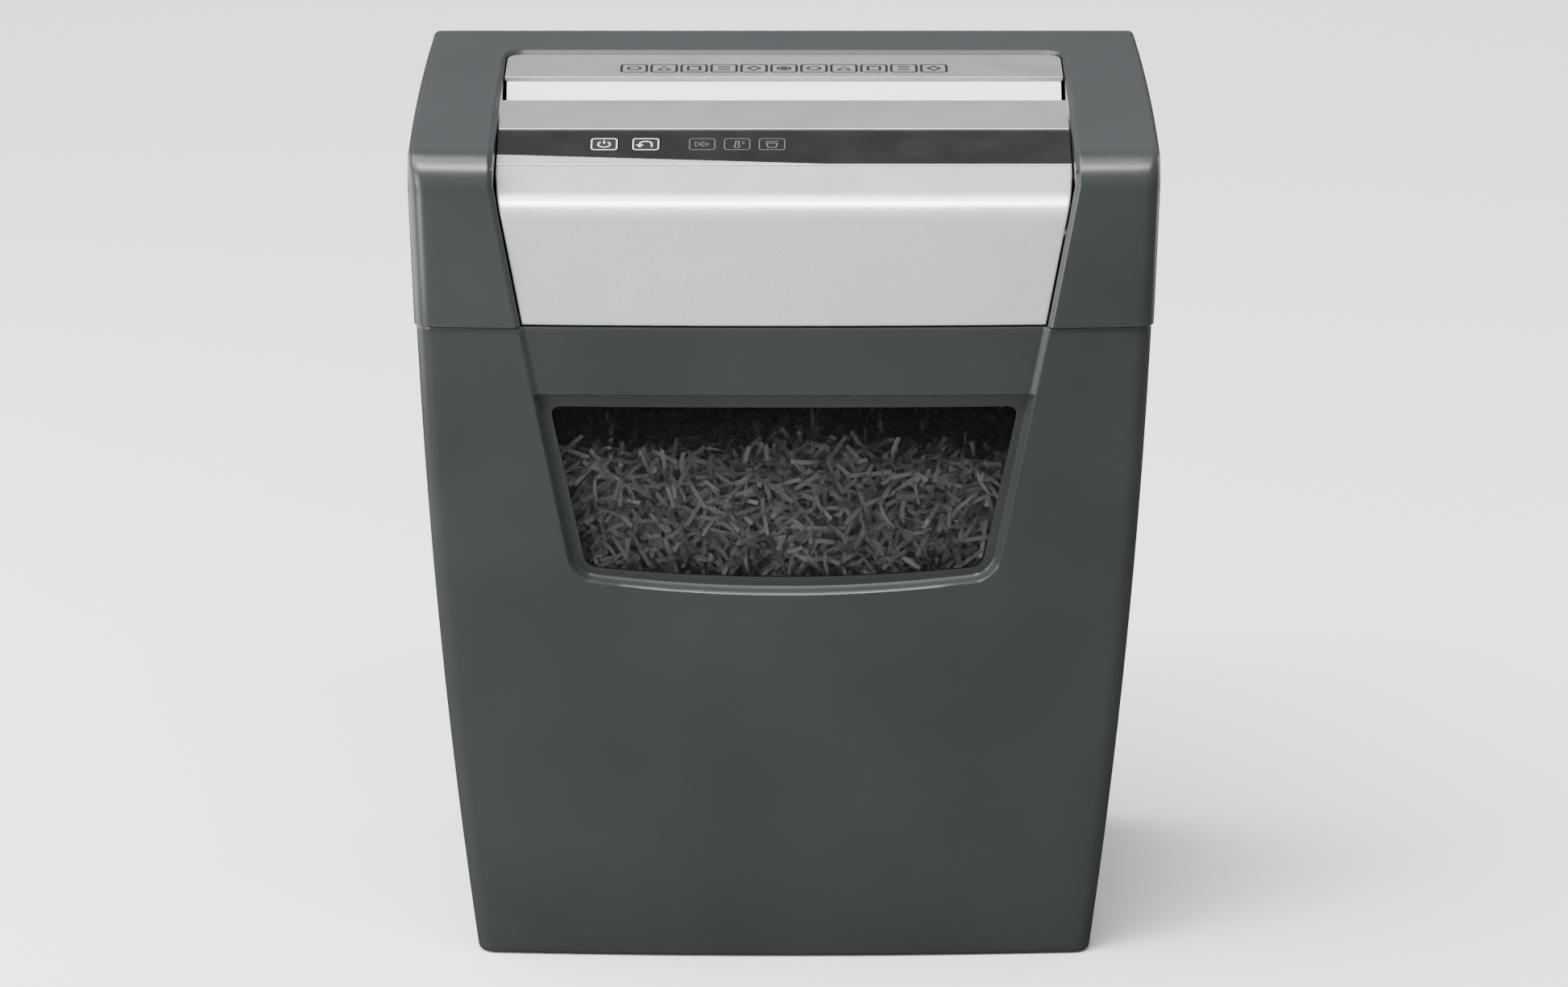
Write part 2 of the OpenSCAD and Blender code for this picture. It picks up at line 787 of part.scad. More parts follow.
module lower_housing() {
    color([0.2, 0.21, 0.22])
        difference() {
            union() {
                difference() {
                    translate([0, 0, floor_z])
                        linear_extrude(housing_drop + eps)
                            polygon(rounded(housing_half_w, tray_y0, tray_y1, tray_r));
                    translate([0, 0, floor_top])
                        linear_extrude(housing_drop + 2)
                            polygon(rounded(housing_half_w - tray_t, tray_y0 + tray_t, tray_y1 - tray_t,
                                            tray_r - tray_t));
                }
                difference() {
                    translate([0, 0, seam_z])
                        linear_extrude(tray_t)
                            polygon(head_ring(seam_z, front_y + flange_set_back, shell_t + 0.3));
                    translate([0, 0, seam_z - 1])
                        linear_extrude(tray_t + 2)
                            polygon(rounded(housing_half_w - tray_t, tray_y0 + tray_t, tray_y1 - tray_t,
                                            tray_r - tray_t));
                }
                at_feet(floor_top - eps)
                    cylinder(h = boss_h, r = 5, $fn = 32);
                translate([plunger_x, plunger_y, seam_z])
                    cylinder(h = guide_h, r = plunger_r + 2, $fn = 32);
                at_board_bosses(floor_top - eps)
                    cylinder(h = board_rise + eps, r = 3.5, $fn = 32);
            }
            translate([-discharge_hw, slot_y - discharge_hd, floor_z - 1])
                cube([2 * discharge_hw, 2 * discharge_hd, tray_t + 2]);
            at_feet(floor_top + 1)
                cylinder(h = boss_h, r = screw_r + 0.1, $fn = 24);
            at_posts(floor_z - 1)
                cylinder(h = tray_t + 2, r = screw_r + 0.3, $fn = 24);
            translate([plunger_x, plunger_y, seam_z - 1])
                cylinder(h = guide_h + 2, r = plunger_r + run_fit, $fn = 32);
        }
}

module cover_screws() {
    color(steel)
        at_posts(floor_z - 1.6) {
            cylinder(h = 1.6, r = 3, $fn = 32);
            cylinder(h = 22, r = screw_r, $fn = 32);
        }
}

module chassis_screws() {
    color(steel)
        at_feet(floor_top + boss_h + plate_t) {
            cylinder(h = 1.6, r = 3, $fn = 32);
            translate([0, 0, -plate_t - 5])
                cylinder(h = plate_t + 5 + eps, r = screw_r, $fn = 32);
        }
}

// ---------- cutter chassis ----------
chassis_z0 = floor_top + boss_h;
chassis_z1 = seam_z + 62;
chassis_y0 = -52;
chassis_y1 = 92;
rod_r = 4;
rod_yz = [[-45, seam_z - 15], [47, seam_z - 20], [-46, seam_z + 37]];
bush_r = 9;
bush_flange_r = 10.5;
motor_case_t = 2;

stage_gap = 1.5;
first_x = plate_out + 2;
second_x = first_x + wheel_t + stage_gap;
drive_x = second_x + wheel_t + stage_gap;
drive_t = wheel_t + 2;
outer_x = drive_x + drive_t + stage_gap;
outer_t = 2;

module plate_outline() {
    notch_y = slot_w / 2 + guide_t + 3;
    polygon([[chassis_y0, chassis_z0], [chassis_y1, chassis_z0], [chassis_y1, chassis_z1 - 8],
             [chassis_y1 - 8, chassis_z1], [slot_y + notch_y + 18, chassis_z1],
             [slot_y + notch_y, slot_top_z - 4], [slot_y + notch_y, slot_low_z - 2],
             [slot_y - notch_y, slot_low_z - 2], [slot_y - notch_y, chassis_z1 - 6],
             [chassis_y0 + 8, chassis_z1 - 6], [chassis_y0, chassis_z1 - 14]]);
}

module chassis_plate(s) {
    color(steel)
        difference() {
            union() {
                translate([s * (plate_x + plate_t / 2), 0, 0])
                    along_x(plate_t)
                        plate_outline();
                for (y = foot_y)
                    translate([s * (plate_x - foot_d / 2 + plate_t / 2), y, chassis_z0 + plate_t / 2])
                        cube([foot_d + plate_t, 14, plate_t], center = true);
            }
            for (p = [front_axis, rear_axis])
                at_yz(p)
                    bar_x(s * plate_x - 20, s * plate_x + 20, bush_r);
            for (p = rod_yz)
                at_yz(p)
                    bar_x(s * plate_x - 20, s * plate_x + 20, rod_r);
            at_feet(chassis_z0 - 1)
                cylinder(h = plate_t + 2, r = screw_r + 0.2, $fn = 24);
            if (s > 0) {
                at_yz(motor_axis)
                    bar_x(plate_x - 5, plate_out + 5, 8);
                for (p = [first_axis, second_axis])
                    at_yz(p)
                        bar_x(plate_x - 5, plate_out + 5, gear_pin_r);
                at_motor_screws()
                    bar_x(plate_x - 5, plate_out + 5, screw_r + 0.2);
            }
        }
}

module chassis_plate_left() {
    chassis_plate(-1);
}

module chassis_plate_right() {
    chassis_plate(1);
}

module tie_rods() {
    color(steel)
        for (p = rod_yz)
            at_yz(p)
                bar_x(-plate_out - 1, plate_out + 1, rod_r);
}

// A stripper comb: a bar with a finger in every gap between the discs of one shaft.
comb_y = shaft_gap / 2 + disc_r + 2;
comb_t = 5;
comb_h = 22;
finger_play = 0.5;
finger_t = disc_pitch / 2 + disc_play - 2 * finger_play;
function disc_start(i) = -half_stack + i * disc_pitch;

module comb(axis, s, offset_x) {
    color(steel)
        difference() {
            union() {
                along_x(2 * plate_x)
                    polygon([[s * comb_y, cut_z - comb_h / 2], [s * (comb_y + comb_t), cut_z - comb_h / 2],
                             [s * (comb_y + comb_t), cut_z + comb_h / 2], [s * comb_y, cut_z + comb_h / 2]]);
                for (i = [0 : disc_count - 1])
                    translate([disc_start(i) + offset_x + finger_play + finger_t / 2, 0, 0])
                        along_x(finger_t)
                            polygon([[s * (shaft_gap / 2 + 8), cut_z - 8], [s * (comb_y + eps), cut_z - 8],
                                     [s * (comb_y + eps), cut_z + 8], [s * (shaft_gap / 2 + 8), cut_z + 8]]);
            }
            at_yz(axis)
                bar_x(-plate_x - 1, plate_x + 1, spacer_r + 1);
        }
}

disc_t = disc_pitch / 2 - disc_play;

module stripper_comb_front() {
    comb(front_axis, -1, disc_t);
}

module stripper_comb_rear() {
    comb(rear_axis, 1, -disc_play);
}

// A flanged bush pressed into a chassis plate from the cutter side.
module bushes(s) {
    color([0.72, 0.6, 0.35])
        for (p = [front_axis, rear_axis])
            at_yz(p)
                difference() {
                    union() {
                        bar_x(s > 0 ? plate_x : -plate_out, s > 0 ? plate_out : -plate_x, bush_r);
                        bar_x(s > 0 ? plate_x - 1.5 : -plate_x, s > 0 ? plate_x : -plate_x + 1.5,
                              bush_flange_r);
                    }
                    bar_x(s * plate_x - 20, s * plate_x + 20, journal_r + run_fit);
                }
}

module bushes_left() {
    bushes(-1);
}

module bushes_right() {
    bushes(1);
}

// ---------- cutters ----------
hex_fit = 0.05;
module shaft(axis, right_end, phase) {
    left_end = -plate_out - 2 - wheel_t - 4;
    color(steel)
        at_yz(axis)
            rotate([phase, 0, 0]) {
                bar_x(-half_stack - 1.5, half_stack + 1.5, hex_af / 2 / cos(30), 6);
                bar_x(left_end, -half_stack - 1.5 + eps, journal_r);
                bar_x(half_stack + 1.5 - eps, right_end, journal_r);
            }
}

module front_shaft() {
    shaft(front_axis, outer_x + outer_t + 1, 0);
}

module rear_shaft() {
    shaft(rear_axis, plate_out + 3, 0);
}

// Hooked teeth round each cutting disc, stepped round from disc to disc.
tooth_count = 6;
tooth_depth = 2.4;
tooth_gullet = 9;
tooth_back = 6.4;
tooth_rake = 0.4;
tooth_relief = 0.6;
disc_twist = 13;
module disc_stack(axis, offset_x) {
    color(steel)
        at_yz(axis)
            for (i = [0 : disc_count - 1])
                translate([disc_start(i) + offset_x, 0, 0])
                    rotate([90, 0, 90])
                        linear_extrude(disc_t)
                            cutting_disc(i);
}

// The bore keeps the shaft's phase while the teeth step round from disc to disc.
module cutting_disc(i) {
    difference() {
        rotate((i * disc_twist) % 60)
            difference() {
                circle(r = disc_r, $fn = 72);
                for (k = [0 : tooth_count - 1])
                    rotate(360 * k / tooth_count)
                        polygon([[disc_r - tooth_depth, 0], [disc_r + 1, -tooth_rake],
                                 [disc_r + 1, tooth_gullet], [disc_r - tooth_relief, tooth_back]]);
            }
        hex_bore();
    }
}

// The hexagon that the shaft fills, as seen along X.
module hex_bore() {
    rotate(90)
        circle(r = (hex_af / 2 + hex_fit) / cos(30), $fn = 6);
}

module spacer_stack(axis, offset_x) {
    color([0.3, 0.3, 0.31])
        at_yz(axis)
            for (i = [0 : disc_count - 1])
                translate([disc_start(i) + offset_x, 0, 0])
                    rotate([90, 0, 90])
                        linear_extrude(disc_pitch - disc_t)
                            difference() {
                                circle(r = spacer_r, $fn = 48);
                                hex_bore();
                            }
}

module front_cutters() {
    disc_stack(front_axis, 0);
}

module front_spacers() {
    spacer_stack(front_axis, disc_t);
}

module rear_cutters() {
    disc_stack(rear_axis, disc_pitch / 2);
}

module rear_spacers() {
    spacer_stack(rear_axis, -disc_play);
}

// ---------- gears ----------
pressure_angle = 20;
tooth_share = 0.44;
flank_steps = 4;

function involute_deg(a) = tan(a) * 180 / PI - a;
function flank_deg(r, rp) =
    let (rb = rp * cos(pressure_angle))
    involute_deg(pressure_angle) - involute_deg(acos(min(1, rb / max(r, rb))));

// Outline of a spur gear with a tooth centred on the X axis.
function gear_pts(teeth, m) =
    let (rp = teeth * m / 2, ra = rp + 0.95 * m, rr = rp - 1.25 * m, rb = rp * cos(pressure_angle),
         start = max(rb, rr), share = 360 * tooth_share / teeth / 2)
    [for (k = [0 : teeth - 1])
     let (c = 360 * k / teeth)
     for (p = concat([[rr, -share - flank_deg(start, rp)]],
                     [for (i = [0 : flank_steps]) let (r = start + (ra - start) * i / flank_steps)
                      [r, -share - flank_deg(r, rp)]],
                     [for (i = [flank_steps : -1 : 0]) let (r = start + (ra - start) * i / flank_steps)
                      [r, share + flank_deg(r, rp)]],
                     [[rr, share + flank_deg(start, rp)]]))
     toward(c + p.y, p.x)];

// A gear along X from x0, turned so that a tooth points at the given angle.
module gear_x(teeth, m, x0, face, phase, bore) {
    translate([x0, 0, 0])
        rotate([90, 0, 90])
            linear_extrude(face)
                difference() {
                    rotate(phase)
                        polygon(gear_pts(teeth, m));
                    circle(r = bore, $fn = 48);
                }
}

sync_x = -plate_out - 2 - wheel_t;
module front_sync_gear() {
    color(steel)
        at_yz(front_axis)
            gear_x(sync_teeth, sync_module, sync_x, wheel_t, 0, journal_r);
}

module rear_sync_gear() {
    color(steel)
        at_yz(rear_axis)
            gear_x(sync_teeth, sync_module, sync_x, wheel_t, 180 + 180 / sync_teeth, journal_r);
}

module drive_wheel() {
    color(steel)
        at_yz(front_axis)
            gear_x(drive_teeth, drive_module, drive_x, drive_t, drive_angle + 180 / drive_teeth, journal_r);
}

module second_wheel() {
    color([0.9, 0.89, 0.84])
        at_yz(second_axis) {
            gear_x(second_teeth, second_module, second_x, wheel_t,
                   second_angle + 180 / second_teeth, gear_pin_r + run_fit);
            gear_x(pinion_teeth, drive_module, second_x + wheel_t - eps, stage_gap + drive_t + eps,
                   drive_angle + 180, gear_pin_r + run_fit);
        }
}

module first_wheel() {
    color([0.9, 0.89, 0.84])
        at_yz(first_axis) {
            gear_x(first_teeth, first_module, first_x, wheel_t,
                   first_angle + 180 / first_teeth, gear_pin_r + run_fit);
            gear_x(pinion_teeth, second_module, first_x + wheel_t - eps, stage_gap + wheel_t + eps,
                   second_angle + 180, gear_pin_r + run_fit);
        }
}

module motor_pinion() {
    color(steel)
        at_yz(motor_axis)
            gear_x(pinion_teeth, first_module, first_x, wheel_t, first_angle + 180, motor_shaft_r);
}

module gear_pins() {
    color(steel)
        for (p = [first_axis, second_axis])
            at_yz(p)
                bar_x(plate_x, outer_x + outer_t, gear_pin_r);
}

standoff_yz = [[-34, seam_z - 22], [86, seam_z - 19], [86, seam_z + 49], [-38, seam_z + 49]];
standoff_r = 3.5;
module plate_standoffs() {
    color(steel)
        for (p = standoff_yz)
            at_yz(p)
                bar_x(plate_out, outer_x, standoff_r);
}

module gear_outer_plate() {
    color(steel)
        difference() {
            translate([outer_x + outer_t / 2, 0, 0])
                along_x(outer_t)
                    polygon([for (k = [0 : 3]) for (a = [0 : 30 : 90])
                             standoff_yz[k] + toward([180, 270, 0, 90][k] + a, 6)]);
            at_yz(front_axis)
                bar_x(outer_x - 1, outer_x + outer_t + 1, journal_r + run_fit);
            for (p = [first_axis, second_axis])
                at_yz(p)
                    bar_x(outer_x - 1, outer_x + outer_t + 1, gear_pin_r);
        }
}

// ---------- motor ----------
bell_t = 4;
bell_right_x = plate_x - bell_t;
case_x = bell_right_x - motor_l;
bell_left_x = case_x - bell_t;
bearing_r = 6.5;
motor_screw_r = 15;
rotor_r = 10.5;
rotor_l = 36;

module at_motor_screws() {
    for (a = [0, 180])
        at_yz(motor_axis + toward(a, motor_screw_r))
            children();
}

module motor_case() {
    color([0.55, 0.56, 0.58])
        at_yz(motor_axis)
            difference() {
                bar_x(case_x, bell_right_x, motor_r);
                bar_x(case_x - 1, bell_right_x + 1, motor_r - motor_case_t);
            }
}

module motor_bell(x) {
    color([0.42, 0.43, 0.45])
        difference() {
            at_yz(motor_axis)
                bar_x(x, x + bell_t, motor_r);
            at_yz(motor_axis)
                bar_x(x - 1, x + bell_t + 1, bearing_r);
            at_motor_screws()
                bar_x(x - 1, x + bell_t + 1, screw_r + 0.1);
        }
}

module motor_bell_left() {
    motor_bell(bell_left_x);
}

module motor_bell_right() {
    motor_bell(bell_right_x);
}

module motor_bearings() {
    color(steel)
        at_yz(motor_axis)
            for (x = [bell_left_x, bell_right_x])
                difference() {
                    bar_x(x, x + bell_t, bearing_r);
                    bar_x(x - 1, x + bell_t + 1, motor_shaft_r + run_fit);
                }
}

module motor_rotor() {
    middle = case_x + motor_l / 2;
    color([0.5, 0.32, 0.2])
        at_yz(motor_axis) {
            bar_x(bell_left_x - 12, first_x + wheel_t + 1, motor_shaft_r);
            bar_x(middle - rotor_l / 2, middle + rotor_l / 2, rotor_r);
            bar_x(middle - rotor_l / 2 - 14, middle - rotor_l / 2 + eps, rotor_r - 4);
        }
}

fan_r = 19;
fan_t = 7;
blade_count = 8;
module motor_fan() {
    color([0.15, 0.15, 0.16])
        at_yz(motor_axis)
            translate([bell_left_x - 3 - fan_t, 0, 0])
                rotate([90, 0, 90])
                    difference() {
                        union() {
                            cylinder(h = fan_t, r = 6, $fn = 48);
                            cylinder(h = 1.2, r = fan_r, $fn = 48);
                            for (k = [0 : blade_count - 1])
                                rotate(360 * k / blade_count)
                                    translate([4, -0.6, 0])
                                        cube([fan_r - 5, 1.2, fan_t]);
                        }
                        translate([0, 0, -1])
                            cylinder(h = fan_t + 2, r = motor_shaft_r, $fn = 48);
                    }
}

module motor_screws() {
    color(steel)
        at_motor_screws() {
            bar_x(plate_out, plate_out + 1.2, 2.8);
            bar_x(bell_right_x + 0.5, plate_out + eps, screw_r);
        }
}

// ---------- electrics ----------
board_y0 = board_y[0] - 5;
board_z = floor_top + board_rise;
module power_board() {
    color(green)
        difference() {
            translate([board_x[0] - 5, board_y0, board_z])
                cube([board_x[1] - board_x[0] + 10, board_y[1] - board_y[0] + 10, board_t]);
            at_board_bosses(board_z - 1)
                cylinder(h = board_t + 2, r = 1.6, $fn = 24);
        }
}

module power_transformer() {
    color([0.75, 0.6, 0.2])
        translate([-92, board_y0 + 8, board_z + board_t])
            difference() {
                cube([30, 26, 24]);
                for (x = [5, 21])
                    translate([x, -1, 5])
                        cube([4, 28, 4]);
            }
}

module power_relay() {
    color([0.1, 0.2, 0.5])
        translate([-48, board_y0 + 12, board_z + board_t])
            cube([20, 16, 16]);
}

module power_capacitor() {
    color([0.1, 0.1, 0.3])
        translate([-8, board_y0 + 20, board_z + board_t])
            cylinder(h = 22, r = 8, $fn = 48);
}

module paper_sensors() {
    color([0.08, 0.08, 0.08])
        for (s = [-1, 1])
            translate([0, slot_y + s * (slot_w / 2 + guide_t + 0.2 + 3), slot_low_z + 6])
                cube([8, 6, 8], center = true);
}

switch_z = seam_z + 19;
module interlock_switch() {
    color([0.1, 0.1, 0.1])
        translate([plunger_x - 4.5, plunger_y - 10, switch_z])
            difference() {
                cube([9, 20, 13]);
                translate([4.5, 10, -1])
                    cylinder(h = 5, r = plunger_r + 0.3, $fn = 32);
            }
}

module interlock_plunger() {
    color([0.85, 0.2, 0.15])
        translate([plunger_x, plunger_y, seam_z]) {
            cylinder(h = switch_z - seam_z - 0.4, r = plunger_r, $fn = 32);
            translate([0, 0, guide_h + plunger_travel - 2])
                cylinder(h = 2, r = plunger_r + 1.6, $fn = 32);
        }
}

bin_shell();
bin_window();
head_cover();
rear_top_panel();
chute_back_wall();
front_top_panel();
throat_front_guide();
chute_cheeks();
control_panel();
accent_trim();
front_fascia();
lower_housing();
cord_inlet();
chassis_plate_left();
chassis_plate_right();
tie_rods();
stripper_comb_front();
stripper_comb_rear();
bushes_left();
bushes_right();
gear_outer_plate();
gear_pins();
plate_standoffs();
front_shaft();
front_cutters();
front_spacers();
front_sync_gear();
drive_wheel();
rear_shaft();
rear_cutters();
rear_spacers();
rear_sync_gear();
second_wheel();
first_wheel();
motor_case();
motor_bell_left();
motor_bell_right();
motor_bearings();
motor_rotor();
motor_fan();
motor_pinion();
motor_screws();
power_board();
power_transformer();
power_relay();
power_capacitor();
control_board();
key_switches();
indicator_lights();
power_key();
reverse_key();
paper_sensors();
interlock_switch();
interlock_plunger();
cover_screws();
chassis_screws();
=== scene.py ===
import logging
import math
from dataclasses import dataclass, field
from enum import Enum
from typing import Callable, Iterable, Sequence

import bmesh
import bpy
from mathutils import Matrix, Vector


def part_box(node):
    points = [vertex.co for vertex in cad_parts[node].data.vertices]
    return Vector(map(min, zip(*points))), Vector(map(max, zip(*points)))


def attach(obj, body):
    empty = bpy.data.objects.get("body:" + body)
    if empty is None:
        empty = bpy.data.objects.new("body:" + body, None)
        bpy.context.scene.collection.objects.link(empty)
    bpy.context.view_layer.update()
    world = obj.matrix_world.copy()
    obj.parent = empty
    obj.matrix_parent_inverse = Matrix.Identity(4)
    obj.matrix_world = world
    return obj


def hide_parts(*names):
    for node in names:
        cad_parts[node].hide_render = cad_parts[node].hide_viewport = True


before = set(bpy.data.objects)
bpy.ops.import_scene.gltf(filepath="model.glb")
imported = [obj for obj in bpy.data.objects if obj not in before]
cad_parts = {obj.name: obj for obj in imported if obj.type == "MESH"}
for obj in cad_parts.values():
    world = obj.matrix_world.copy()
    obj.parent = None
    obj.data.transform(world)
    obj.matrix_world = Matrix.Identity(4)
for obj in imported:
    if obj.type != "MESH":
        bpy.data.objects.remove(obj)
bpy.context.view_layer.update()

MM = 0.001
MERGE = 2e-6  # metres within which points are one
FLAT_ANGLE = 0.8  # degrees within which neighbouring faces are one flat face
EDGE_ANGLE = 28.0  # degrees from which a bend is an edge to be rounded
Colour = tuple[float, float, float]
Point = tuple[float, float, float]
Flat = tuple[float, float]
log = logging.getLogger("shredder")


# ---------------------------------------------------------------- node helpers
class Tree:
    """A thin hand on a node tree, for shaders, groups and geometry alike."""

    def __init__(self, tree: bpy.types.NodeTree) -> None:
        """Takes the tree that nodes are added to."""
        self.tree = tree

    def add(self, kind: str, inputs: dict | None = None, **settings) -> bpy.types.Node:
        """Adds a node.

        Args:
            kind: the node's class name.
            inputs: socket name or index to a value, or to an output socket to link from.
            **settings: attributes of the node.

        Returns:
            The new node.
        """
        node = self.tree.nodes.new(kind)
        for key, value in settings.items():
            setattr(node, key, value)
        for key, value in (inputs or {}).items():
            self.feed(node.inputs[key], value)
        return node

    def feed(self, socket: bpy.types.NodeSocket, value) -> None:
        """Links an output socket into the socket, or sets the socket's value."""
        if isinstance(value, bpy.types.NodeSocket):
            self.tree.links.new(value, socket)
        else:
            socket.default_value = value

    def math(self, operation: str, *values) -> bpy.types.NodeSocket:
        """Returns the result of a math node on the values."""
        node = self.add("ShaderNodeMath", operation=operation)
        for i, value in enumerate(values):
            self.feed(node.inputs[i], value)
        return node.outputs[0]

    def scale_to(self, value, low: float, high: float, to_low: float = 0.0,
                 to_high: float = 1.0) -> bpy.types.NodeSocket:
        """Returns value mapped from low..high onto to_low..to_high, clamped."""
        node = self.add("ShaderNodeMapRange", {0: value, 1: low, 2: high, 3: to_low, 4: to_high})
        return node.outputs[0]

    def mix(self, factor, first, second) -> bpy.types.NodeSocket:
        """Returns the blend of two colours."""
        node = self.add("ShaderNodeMix", data_type="RGBA")
        self.feed(node.inputs["Factor"], factor)
        self.feed(node.inputs[6], four(first) if isinstance(first, tuple) else first)
        self.feed(node.inputs[7], four(second) if isinstance(second, tuple) else second)
        return node.outputs[2]

    def place(self) -> bpy.types.NodeSocket:
        """Returns the object's own coordinates."""
        return self.add("ShaderNodeTexCoord").outputs["Object"]

    def stretched(self, vector, scale: Point) -> bpy.types.NodeSocket:
        """Returns the vector scaled along each axis."""
        node = self.add("ShaderNodeMapping", {"Vector": vector})
        node.inputs["Scale"].default_value = scale
        return node.outputs[0]

    def noise(self, vector, scale: float, detail: float = 3.0,
              roughness: float = 0.55) -> bpy.types.NodeSocket:
        """Returns a noise value at the vector; scale is in features per metre."""
        node = self.add("ShaderNodeTexNoise", {"Scale": scale, "Detail": detail,
                                               "Roughness": roughness})
        self.feed(node.inputs["Vector"], vector)
        return node.outputs["Fac"]


def four(colour: Colour) -> tuple[float, float, float, float]:
    """Returns the colour with full alpha."""
    return (*colour, 1.0)


class Effect(Enum):
    """The surface effects that several finishes share."""

    GRAIN = "moulded_grain"
    WEAR = "edge_wear"
    DUST = "settled_dust"
    BRUSH = "drawn_lines"


class EffectLibrary:
    """Builds each shared effect once, as a shader node group."""

    def __init__(self) -> None:
        """Starts with no group built."""
        self.groups: dict[Effect, bpy.types.NodeTree] = {}

    def get(self, effect: Effect) -> bpy.types.NodeTree:
        """Returns the effect's node group, built at its first use."""
        makers = {Effect.GRAIN: self._grain, Effect.WEAR: self._wear,
                  Effect.DUST: self._dust, Effect.BRUSH: self._brush}
        if effect not in self.groups:
            self.groups[effect] = makers[effect]()
        return self.groups[effect]

    @staticmethod
    def _group(name: str, inputs: dict[str, float],
               outputs: Sequence[str]) -> tuple[Tree, dict, bpy.types.Node]:
        """Makes an empty group.

        Args:
            name: the group's name.
            inputs: input names with their default values.
            outputs: names of the value outputs.

        Returns:
            The tree's hand, the inputs by name, and the group's output node.
        """
        tree = bpy.data.node_groups.new(name, "ShaderNodeTree")
        for title, value in inputs.items():
            socket = tree.interface.new_socket(title, in_out="INPUT", socket_type="NodeSocketFloat")
            socket.default_value = value
        for title in outputs:
            tree.interface.new_socket(title, in_out="OUTPUT", socket_type="NodeSocketFloat")
        hand = Tree(tree)
        entry = hand.add("NodeGroupInput")
        leave = hand.add("NodeGroupOutput")
        return hand, {title: entry.outputs[title] for title in inputs}, leave

    def _grain(self) -> bpy.types.NodeTree:
        """Returns the fine texture of a spark-eroded mould, with a slower mottling."""
        hand, inputs, leave = self._group(
            Effect.GRAIN.value, {"Scale": 1400.0, "Mottle Scale": 9.0}, ("Height", "Mottle"))
        place = hand.place()
        cells = hand.add("ShaderNodeTexVoronoi", {"Vector": place, "Scale": inputs["Scale"]})
        fine = hand.noise(place, inputs["Scale"], 2.0, 0.5)
        slow = hand.noise(place, inputs["Mottle Scale"], 4.0, 0.5)
        height = hand.math("ADD", hand.math("MULTIPLY", cells.outputs["Distance"], 0.6), fine)
        hand.feed(leave.inputs["Height"], height)
        hand.feed(leave.inputs["Mottle"], hand.scale_to(slow, 0.3, 0.7))
        return hand.tree

    def _wear(self) -> bpy.types.NodeTree:
        """Returns a mask of sharp outward edges, broken up by noise."""
        hand, inputs, leave = self._group(
            Effect.WEAR.value, {"Amount": 0.5, "Break Scale": 60.0}, ("Mask",))
        sharp = hand.add("ShaderNodeNewGeometry").outputs["Pointiness"]
        spots = hand.noise(hand.place(), inputs["Break Scale"], 5.0, 0.5)
        edge = hand.scale_to(sharp, 0.52, 0.60)
        broken = hand.math("MULTIPLY", edge, hand.scale_to(spots, 0.40, 0.62))
        hand.feed(leave.inputs["Mask"], hand.math("MULTIPLY", broken, inputs["Amount"]))
        return hand.tree

    def _dust(self) -> bpy.types.NodeTree:
        """Returns a mask of thin dust on faces that look up."""
        hand, inputs, leave = self._group(
            Effect.DUST.value, {"Amount": 0.3, "Scale": 35.0}, ("Mask",))
        up = hand.add("ShaderNodeSeparateXYZ",
                      {0: hand.add("ShaderNodeNewGeometry").outputs["Normal"]}).outputs["Z"]
        drift = hand.noise(hand.place(), inputs["Scale"], 6.0, 0.65)
        lying = hand.math("MULTIPLY", hand.scale_to(up, 0.55, 1.0),
                          hand.scale_to(drift, 0.38, 0.72))
        hand.feed(leave.inputs["Mask"], hand.math("MULTIPLY", lying, inputs["Amount"]))
        return hand.tree

    def _brush(self) -> bpy.types.NodeTree:
        """Returns fine lines drawn along X, as on turned or brushed metal."""
        hand, inputs, leave = self._group(
            Effect.BRUSH.value, {"Scale": 900.0, "Stretch": 0.02}, ("Height", "Streak"))
        place = hand.place()
        squeeze = hand.add("ShaderNodeCombineXYZ", {0: inputs["Stretch"], 1: 1.0, 2: 1.0})
        along = hand.add("ShaderNodeVectorMath", {0: place, 1: squeeze.outputs[0]},
                         operation="MULTIPLY")
        lines = hand.noise(along.outputs[0], inputs["Scale"], 3.0, 0.5)
        hand.feed(leave.inputs["Height"], lines)
        hand.feed(leave.inputs["Streak"], hand.scale_to(lines, 0.3, 0.7))
        return hand.tree


EFFECTS = EffectLibrary()


# ---------------------------------------------------------------- finishes
def tone(colour: Colour, factor: float, lift: float = 0.0) -> Colour:
    """Returns the colour scaled and lifted, kept at or below full strength."""
    return tuple(min(1.0, c * factor + lift) for c in colour)


